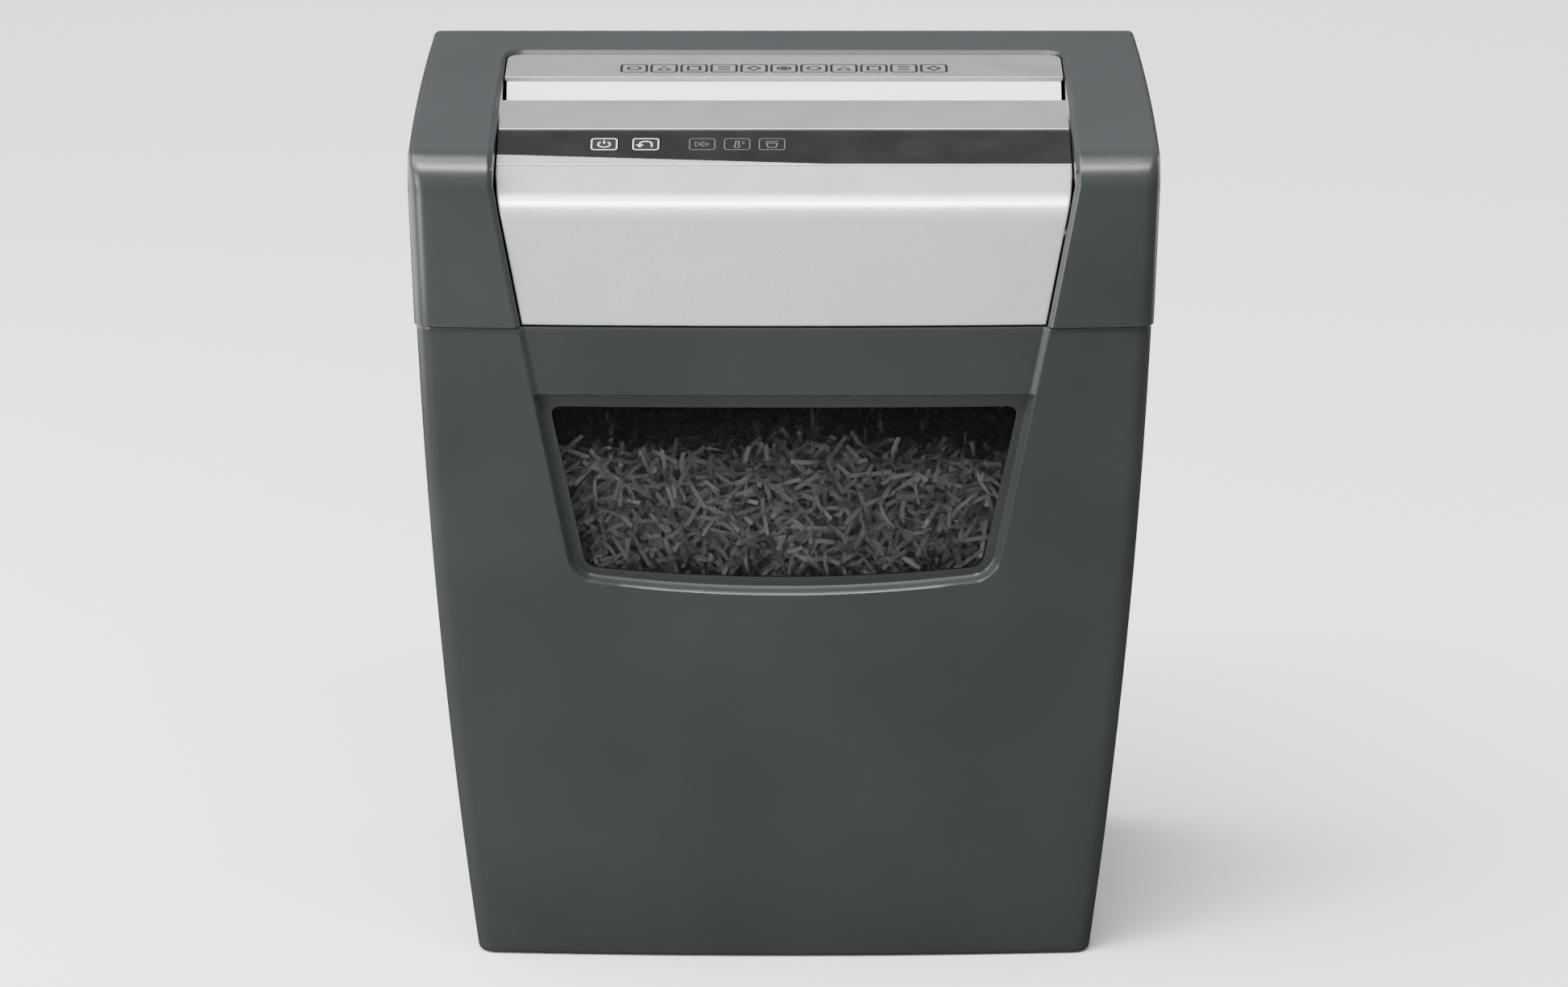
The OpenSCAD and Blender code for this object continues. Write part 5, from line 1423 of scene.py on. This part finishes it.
@dataclass
class Fascia:
    """The silver front: a shallow slope, a knee and a leaning face, bowed across."""

    form: ShellForm
    slope: float = 19.0
    knee_r: float = 15.0
    slope_l: float = 23.0
    lean: float = 82.0
    gap: float = 0.8
    thickness: float = 2.2
    edge_r: float = 1.1
    top_lift: float = 0.6

    def profile(self, top_y: float, top_z: float) -> list[tuple[float, float, float, float]]:
        """Returns points down the profile with their inward normals."""
        s, c = sine_cosine(self.slope)
        knee_y = top_y - self.slope_l * c + self.knee_r * s
        knee_z = top_z - self.slope_l * s - self.knee_r * c
        foot_z = self.form.seam_z + self.top_lift
        rows = []
        along = [0.0, 0.15, 0.4, 0.75, 1.1, 1.6] + spread(3.0, self.slope_l - 1.5, 8)
        end_y, end_z = knee_y - self.knee_r * s, knee_z + self.knee_r * c
        for d in along:
            share = d / self.slope_l
            rows.append((top_y + (end_y - top_y) * share, top_z + (end_z - top_z) * share, s, -c))
        for sa, ca in map(sine_cosine, spread(self.slope, self.lean, 17)):
            rows.append((knee_y - self.knee_r * sa, knee_z + self.knee_r * ca, sa, -ca))
        end_y, end_z = rows[-1][:2]
        sl, cl = sine_cosine(self.lean)
        fall = end_z - foot_z
        shares = spread(0.06, 0.95, 14) + [1 - d / fall for d in (1.6, 1.1, 0.75, 0.4, 0.15, 0.0)]
        for t in shares:
            z = end_z - fall * t
            rows.append((end_y - (end_z - z) / math.tan(math.radians(self.lean)), z, sl, -cl))
        return rows

    def build(self) -> None:
        """Builds and hangs the front."""
        _, high = rest_corners("front_fascia")
        f = self.form
        rows = self.profile(high.y - self.thickness * math.sin(math.radians(self.slope)) * 1.09,
                            high.z)
        length = [0.0]
        for p, q in zip(rows, rows[1:]):
            length.append(length[-1] + math.hypot(q[0] - p[0], q[1] - p[1]))
        edge = [0.0, 0.15, 0.4, 0.75, 1.1, 1.6, 3.0, 6.0]
        points: list[Point] = []
        for (y, z, ny, nz), s in zip(rows, length):
            hw = f.rib_x(z) - self.gap
            xs = [-hw + e for e in edge] + [x * (hw - 6) for x in spread(-1, 1, 31)[1:-1]]
            xs += [hw - e for e in reversed(edge)]
            near = unit((f.seam_z + f.fascia_rise - z) / f.fascia_rise)
            for x in xs:
                inside = min(hw - abs(x), s, length[-1] - s)
                over = max(0.0, self.edge_r - inside)
                roll = self.edge_r - math.sqrt(max(0.0, self.edge_r ** 2 - over ** 2))
                bow = near * f.front_bow * (x / (f.half_w - 2.5)) ** 2
                points.append((x, y + ny * roll + bow, z + nz * roll))
        cols = 2 * len(edge) + 29
        skin = new_object("silver_front_skin", points, grid_faces(len(rows), cols, flip=True))
        tidy_mesh(skin)
        thicken(skin, self.thickness - self.edge_r)
        tidy_mesh(skin, sharp_angle=50.0)
        Workshop.hang(skin, "head", SILVER_FRONT, "silver_fascia", ["front_fascia"])


# ---------------------------------------------------------------- marks
@dataclass
class Pen:
    """Draws flat strokes with a little body, on a plane placed by a matrix."""

    place: Matrix
    line: float = 0.55
    body: float = 0.05
    points: list[Point] = field(default_factory=list)
    faces: list[tuple[int, ...]] = field(default_factory=list)

    def stroke(self, path: Sequence[Flat], closed: bool = False) -> None:
        """Draws a path with mitred corners."""
        half = self.line / 2
        n = len(path)
        rails = []
        for i, p in enumerate(path):
            before = path[i - 1] if closed or i else None
            after = path[(i + 1) % n] if closed or i < n - 1 else None
            ways = []
            for a, b in ((before, p), (p, after)):
                if a is not None and b is not None:
                    d = math.hypot(b[0] - a[0], b[1] - a[1]) or 1.0
                    ways.append((-(b[1] - a[1]) / d, (b[0] - a[0]) / d))
            mx, my = (sum(w[0] for w in ways) / len(ways), sum(w[1] for w in ways) / len(ways))
            size = max(0.35, mx * mx + my * my)
            rails.append(((p[0] + mx / size * half, p[1] + my / size * half),
                          (p[0] - mx / size * half, p[1] - my / size * half)))
        count = n if closed else n - 1
        for i in range(count):
            a, b = rails[i], rails[(i + 1) % n]
            self.plate([a[1], b[1], b[0], a[0]])

    def plate(self, outline: Sequence[Flat]) -> None:
        """Draws a filled outline, walked anticlockwise."""
        start, n = len(self.points), len(outline)
        for h in (0.012, self.body):
            self.points += [(x, y, h) for x, y in outline]
        self.faces.append(tuple(range(start + n - 1, start - 1, -1)))
        self.faces.append(tuple(range(start + n, start + 2 * n)))
        self.faces += [(start + i, start + (i + 1) % n, start + n + (i + 1) % n, start + n + i)
                       for i in range(n)]

    def ring(self, cx: float, cy: float, r: float, start: float = 0, end: float = 360,
             steps: int = 24) -> None:
        """Draws an arc or a full ring."""
        full = end - start >= 360
        count = steps if full else steps + 1
        turns = [sine_cosine(start + (end - start) * k / steps) for k in range(count)]
        self.stroke([(cx + r * c, cy + r * s) for s, c in turns], closed=full)

    def finish(self, name: str) -> bpy.types.Object:
        """Returns the strokes as one object, with its place in its mesh."""
        return new_object(name, [tuple(self.place @ Vector(p)) for p in self.points], self.faces)


@dataclass
class FrameRow:
    """A row of rounded outline frames, made with geometry nodes."""

    count: int
    pitch: float
    width: float
    depth: float
    corner: float
    line: float = 0.5
    body: float = 0.05

    @staticmethod
    def tree() -> bpy.types.NodeTree:
        """Returns the shared node tree, with named inputs for its sizes."""
        made = bpy.data.node_groups.get("framed_row")
        if made:
            return made
        hand, entry = geometry_tree("framed_row", {
            "Count": "Int", "Pitch": "Float", "Width": "Float", "Depth": "Float",
            "Corner": "Float", "Line": "Float", "Body": "Float"})
        reach = hand.math("MULTIPLY", hand.math("SUBTRACT", entry["Count"], 1.0), entry["Pitch"])
        start = hand.add("ShaderNodeCombineXYZ", {0: hand.math("MULTIPLY", reach, -0.5)})
        step = hand.add("ShaderNodeCombineXYZ", {0: entry["Pitch"]})
        row = hand.add("GeometryNodeMeshLine", {
            "Count": entry["Count"], "Start Location": start.outputs[0], "Offset": step.outputs[0]})
        outline = hand.add("GeometryNodeCurvePrimitiveQuadrilateral", {
            "Width": entry["Width"], "Height": entry["Depth"]})
        rounded = hand.add("GeometryNodeFilletCurve", {
            "Curve": outline.outputs[0], "Radius": entry["Corner"], "Count": 5}, mode="POLY")
        section = hand.add("GeometryNodeCurvePrimitiveQuadrilateral", {
            "Width": entry["Line"], "Height": entry["Body"]})
        upright = hand.add("GeometryNodeSetCurveNormal", {"Curve": rounded.outputs[0]},
                           mode="Z_UP")
        swept = hand.add("GeometryNodeCurveToMesh", {"Curve": upright.outputs[0],
                                                     "Profile Curve": section.outputs[0]})
        placed = hand.add("GeometryNodeInstanceOnPoints", {"Points": row.outputs[0],
                                                           "Instance": swept.outputs[0]})
        return close_tree(hand, entry, placed.outputs[0])

    def build(self, name: str, place: Matrix, finish: Finish) -> bpy.types.Object:
        """Returns the row as a plain mesh, placed by a matrix in millimetres."""
        obj = new_object(name, [(0, 0, 0)], [])
        run_tree(obj, self.tree(), {
            "Count": self.count, "Pitch": self.pitch * MM, "Width": self.width * MM,
            "Depth": self.depth * MM, "Corner": self.corner * MM, "Line": self.line * MM,
            "Body": self.body * MM, "Material": finish.build()})
        shift = place.copy()
        shift.translation = place.translation * MM
        obj.data.transform(shift)
        tidy_mesh(obj, sharp_angle=30.0, recalculate=True, merge=1e-7)
        return obj


@dataclass
class ControlBand:
    """The glossy band with its keys, lights and plain marks."""

    tilt: float = 13.0
    key_x: tuple[float, float] = (-86.8, -66.7)
    light_x: tuple[float, float, float] = (-39.5, -22.6, -5.8)
    key_y: float = -14.3
    panel_t: float = 2.2
    mark_w: float = 12.2
    mark_h: float = 11.4

    def plane(self, x: float, lift: float = 0.0) -> Matrix:
        """Returns the placing of a mark at x on the band, lifted off it."""
        _, high = rest_corners("control_panel")
        t = math.radians(self.tilt)
        origin = Vector((0, high.y - self.panel_t * math.sin(t), high.z))
        turn = Matrix.Rotation(t, 4, "X")
        return Matrix.Translation(origin) @ turn @ Matrix.Translation((x, self.key_y, lift))

    def build(self) -> None:
        """Makes and hangs the band, its trim, keys and marks."""
        for node, name, width, finish, slot in (
                ("control_panel", "gloss_band", 0.35, GLOSS, "gloss_panel"),
                ("accent_trim", "silver_trim", 0.3, SILVER_FRONT, "silver_fascia")):
            Workshop.hang(Workshop.soften(node, name, width), "head", finish, slot, [node])
        for x, node, draw in zip(self.key_x, ("power_key", "reverse_key"),
                                 (self.power_mark, self.reverse_mark)):
            Workshop.hang(Workshop.soften(node, f"{node}_cap", 0.35), node, KEY_CAP, "key_cap",
                          [node])
            self.mark(x, (f"{node}_border", f"{node}_mark"), draw, INK_WHITE, node, "key_cap",
                      (0.62, 0.75))
        for k, (x, draw) in enumerate(zip(self.light_x, (self.forward_mark, self.heat_mark,
                                                         self.bin_mark))):
            self.mark(x, (f"indicator_border_{k}", f"indicator_mark_{k}"), draw, INK_DIM, "head",
                      "gloss_panel", (0.45, 0.6))

    def mark(self, x: float, names: tuple[str, str], draw: Callable[["Pen"], None], ink: Finish,
             body: str, slot: str, lines: Flat) -> None:
        """Hangs a framed mark.

        Args:
            x: the mark's middle.
            names: names of the border and of the mark.
            draw: draws the mark with a pen.
            ink: the finish of both.
            body: the body they ride on.
            slot: their slot; not used.
            lines: widths of the border's and the mark's lines.
        """
        border = FrameRow(1, 1.0, self.mark_w, self.mark_h, 1.6, lines[0])
        Workshop.hang(border.build(names[0], self.plane(x, 0.03), ink), body, ink, slot)
        pen = Pen(self.plane(x), line=lines[1])
        draw(pen)
        Workshop.hang(pen.finish(names[1]), body, ink, slot)

    @staticmethod
    def power_mark(pen: Pen) -> None:
        """Draws a broken ring with a bar."""
        pen.ring(0, -0.2, 2.9, 125, 415)
        pen.stroke([(0, 0.4), (0, 3.6)])

    @staticmethod
    def reverse_mark(pen: Pen) -> None:
        """Draws an arrow that turns back."""
        pen.stroke([(2.9, -2.6)] + [(2.9 * math.cos(a), 0.3 + 2.6 * math.sin(a))
                                    for a in spread(0, math.pi, 13)] + [(-2.9, -0.6)])
        pen.plate([(-4.7, -0.5), (-2.9, -3.3), (-1.1, -0.5)])

    @staticmethod
    def forward_mark(pen: Pen) -> None:
        """Draws two triangles that point ahead."""
        for x in (-2.4, 0.9):
            pen.stroke([(x - 0.9, -2.4), (x + 2.2, 0), (x - 0.9, 2.4)], closed=True)

    @staticmethod
    def heat_mark(pen: Pen) -> None:
        """Draws a thermometer."""
        pen.ring(0, -2.3, 1.35, 125, 415)
        pen.stroke([(-0.8, -1.2), (-0.8, 3.0), (0.8, 3.0), (0.8, -1.2)])
        pen.stroke([(2.2, 2.4), (3.6, 2.4)])
        pen.stroke([(2.2, 0.4), (3.6, 0.4)])

    @staticmethod
    def bin_mark(pen: Pen) -> None:
        """Draws an open bin with its lid above."""
        pen.stroke([(-2.6, 0.9), (-1.9, -3.4), (1.9, -3.4), (2.6, 0.9)], closed=True)
        pen.stroke([(-3.1, 2.6), (3.1, 3.2)])


@dataclass
class FeedSlot:
    """The silver panels round the paper's mouth, the chute below and the row of plain marks."""

    count: int = 11
    pitch: float = 14.9
    mark_w: float = 12.5
    mark_h: float = 15.0
    row_from_front: float = 17.0

    def build(self) -> None:
        """Makes and hangs the panels, the chute and the marks."""
        # The two top panels take the darkened copy of the silver paint, which is painted shade.
        for node, name, width, finish, slot in (
                ("rear_top_panel", "rear_panel", 0.6, SHADED_SILVER_TOP, "silver_panel"),
                ("front_top_panel", "front_panel", 0.6, SHADED_SILVER_TOP, "silver_panel"),
                ("chute_back_wall", "chute_back", 0.4, LINING, "chute_lining"),
                ("throat_front_guide", "chute_front", 0.4, LINING, "chute_lining"),
                ("chute_cheeks", "chute_ends", 0.3, LINING, "chute_lining")):
            piece = Workshop.soften(node, name, width)
            Workshop.hang(piece, "head", finish, slot, [node])
        self.marks()

    def marks(self) -> None:
        """Draws a row of framed plain shapes, lightly printed."""
        low, high = rest_corners("rear_top_panel")
        place = Matrix.Translation((0, low.y + self.row_from_front, high.z + 0.03))
        row = FrameRow(self.count, self.pitch, self.mark_w, self.mark_h, 1.8, 1.3)
        Workshop.hang(row.build("panel_frames", place, INK_GREY), "head", INK_GREY, "silver_panel")
        half = self.pitch * (self.count - 1) / 2
        shapes: list[Callable[[Pen, float], None]] = [
            lambda pen, x: pen.ring(x, 0, 3.2),
            lambda pen, x: pen.stroke([(x - 3, -3.4), (x + 3, -3.4), (x, 3.6)], closed=True),
            lambda pen, x: pen.stroke([(x - 3, -3.6), (x + 3, -3.6), (x + 3, 3.6), (x - 3, 3.6)],
                                      closed=True),
            lambda pen, x: [pen.stroke([(x - 3, y), (x + 3, y)]) for y in (-3.4, 0.0, 3.4)],
            lambda pen, x: pen.stroke([(x, -4.2), (x + 3.2, 0), (x, 4.2), (x - 3.2, 0)],
                                      closed=True),
            lambda pen, x: [pen.ring(x, 0, 3.2), pen.ring(x, 0, 1.2, steps=12)],
        ]
        pen = Pen(place, line=1.25)
        for k in range(self.count):
            shapes[k % len(shapes)](pen, -half + k * self.pitch)
        Workshop.hang(pen.finish("panel_shapes"), "head", INK_GREY, "silver_panel")


# ---------------------------------------------------------------- works inside the head
@dataclass
class InnerWorks:
    """The carried-over machine: housing, cutters, gears, motor and boards."""

    finishes: dict[str, Finish] = field(default_factory=lambda: {
        "cord_inlet": RUBBER, "chassis_plate_left": SHEET, "chassis_plate_right": SHEET,
        "tie_rods": BRIGHT, "stripper_comb_front": COMB, "stripper_comb_rear": COMB,
        "bushes_left": BRONZE, "bushes_right": BRONZE, "gear_outer_plate": SHEET,
        "gear_pins": BRIGHT, "plate_standoffs": BRIGHT, "front_shaft": BRIGHT,
        "front_cutters": CUTTER, "front_spacers": SPACER, "front_sync_gear": GEAR_STEEL,
        "drive_wheel": GEAR_STEEL, "rear_shaft": BRIGHT, "rear_cutters": CUTTER,
        "rear_spacers": SPACER, "rear_sync_gear": GEAR_STEEL, "second_wheel": NYLON,
        "first_wheel": NYLON, "motor_case": ZINC, "motor_bell_left": ZINC,
        "motor_bell_right": ZINC, "motor_bearings": BRIGHT, "motor_rotor": COPPER,
        "motor_fan": COMB, "motor_pinion": GEAR_STEEL, "motor_screws": BRIGHT,
        "power_board": BOARD, "power_transformer": TAPE, "power_relay": RELAY,
        "power_capacitor": SLEEVE, "control_board": BOARD, "key_switches": SWITCH,
        "indicator_lights": LIGHT, "paper_sensors": SWITCH, "interlock_switch": SWITCH,
        "interlock_plunger": PLUNGER, "cover_screws": SCREW, "chassis_screws": BRIGHT})

    def build(self) -> None:
        """Rounds the housing's edges and dresses every carried-over node."""
        tray = Workshop.soften("lower_housing", "under_housing", 0.5)
        Workshop.hang(tray, "head", HOUSING, "housing_plastic", ["lower_housing"])
        for node, finish in self.finishes.items():
            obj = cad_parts[node]
            if not obj.material_slots:
                obj.data.materials.append(finish.build())
            for item in obj.material_slots:
                item.material = finish.build()
        log.info("dressed %d carried-over nodes", len(self.finishes))


# ---------------------------------------------------------------- studio
@dataclass
class Studio:
    """A pale floor, soft lights and the camera."""

    distance: float = 3.652
    elevation: float = 17.54
    aim_z: float = 0.2087
    lens: float = 168.09
    floor_size: float = 9000.0
    floor_z: float = -0.2

    def build(self) -> None:
        """Makes the whole studio."""
        self.floor()
        self.lights()
        self.camera()

    def floor(self) -> None:
        """Lays the floor, kept out of glossy reflections so that it doesn't grey the casing."""
        size, low = self.floor_size, self.floor_z
        floor = new_object("floor", [(-size, -size, low), (size, -size, low), (size, size, low),
                                     (-size, size, low)], [(0, 1, 2, 3)])
        floor.data.materials.append(PALE.build())
        floor.visible_glossy = False

    @staticmethod
    def softbox(name: str, place: Point, aim: Point, size: Flat, power: float) -> None:
        """Hangs a soft light that looks at a point."""
        data = bpy.data.lights.new(name, "AREA")
        data.shape, data.size, data.size_y, data.energy = "RECTANGLE", size[0], size[1], power
        look(link(name, data), Vector(place), Vector(aim) - Vector(place))

    @staticmethod
    def sky_light(name: str, toward: Point, spread_angle: float, strength: float) -> None:
        """Adds an even light from far off, as soft as the angle it spreads over."""
        data = bpy.data.lights.new(name, "SUN")
        data.energy, data.angle = strength, math.radians(spread_angle)
        look(link(name, data), Vector(toward) * 3, -Vector(toward))

    def lights(self) -> None:
        """Hangs the lights and sets a grey, even surround."""
        aim = (0.0, 0.0, 0.25)
        self.sky_light("overhead", (-0.45, -0.10, 1.0), 60.0, 6.0)
        self.softbox("front_left", (-1.0, -0.95, 0.55), aim, (0.5, 0.8), 15.0)
        self.softbox("knee_glow", (-0.1, -0.75, 1.9), (-0.1, -0.1, 0.4), (1.3, 0.34), 46.0)
        self.softbox("low_left", (-1.25, 0.05, 0.34), aim, (0.9, 0.8), 13.0)
        self.softbox("rim_left", (-1.2, 0.75, 0.45), aim, (0.5, 0.9), 9.0)
        self.softbox("rim_right", (1.2, 0.65, 0.45), aim, (0.4, 0.9), 6.0)
        world = bpy.data.worlds.new("surround")
        bpy.context.scene.world = world
        world.use_nodes = True
        hand = Tree(world.node_tree)
        way = hand.add("ShaderNodeTexCoord").outputs["Generated"]
        rise = hand.add("ShaderNodeSeparateXYZ", {0: way}).outputs["Z"]
        ground = world.node_tree.nodes["Background"]
        hand.feed(ground.inputs["Color"], hand.mix(
            hand.scale_to(rise, -0.08, 0.25), (0.10, 0.10, 0.105), (0.95, 0.97, 1.0)))
        ground.inputs["Strength"].default_value = 0.38

    def camera(self) -> None:
        """Places the camera in front, a little above."""
        data = bpy.data.cameras.new("camera")
        data.lens, data.sensor_width = self.lens, 36.0
        data.clip_start, data.clip_end = 0.1, 60.0
        camera = link("camera", data)
        up, out = sine_cosine(self.elevation)
        back = Vector((0, -out, up))
        look(camera, Vector((0, 0, self.aim_z)) + back * self.distance, -back)
        bpy.context.scene.camera = camera


def main() -> None:
    """Builds the shredder's looks."""
    logging.basicConfig(level=logging.INFO, format="%(name)s: %(message)s")
    form = ShellForm.from_frame()
    Studio().build()
    WasteBin(form).build()
    HeadShell(form).build()
    Fascia(form).build()
    FeedSlot().build()
    ControlBand().build()
    InnerWorks().build()


if __name__ == "__main__":
    main()
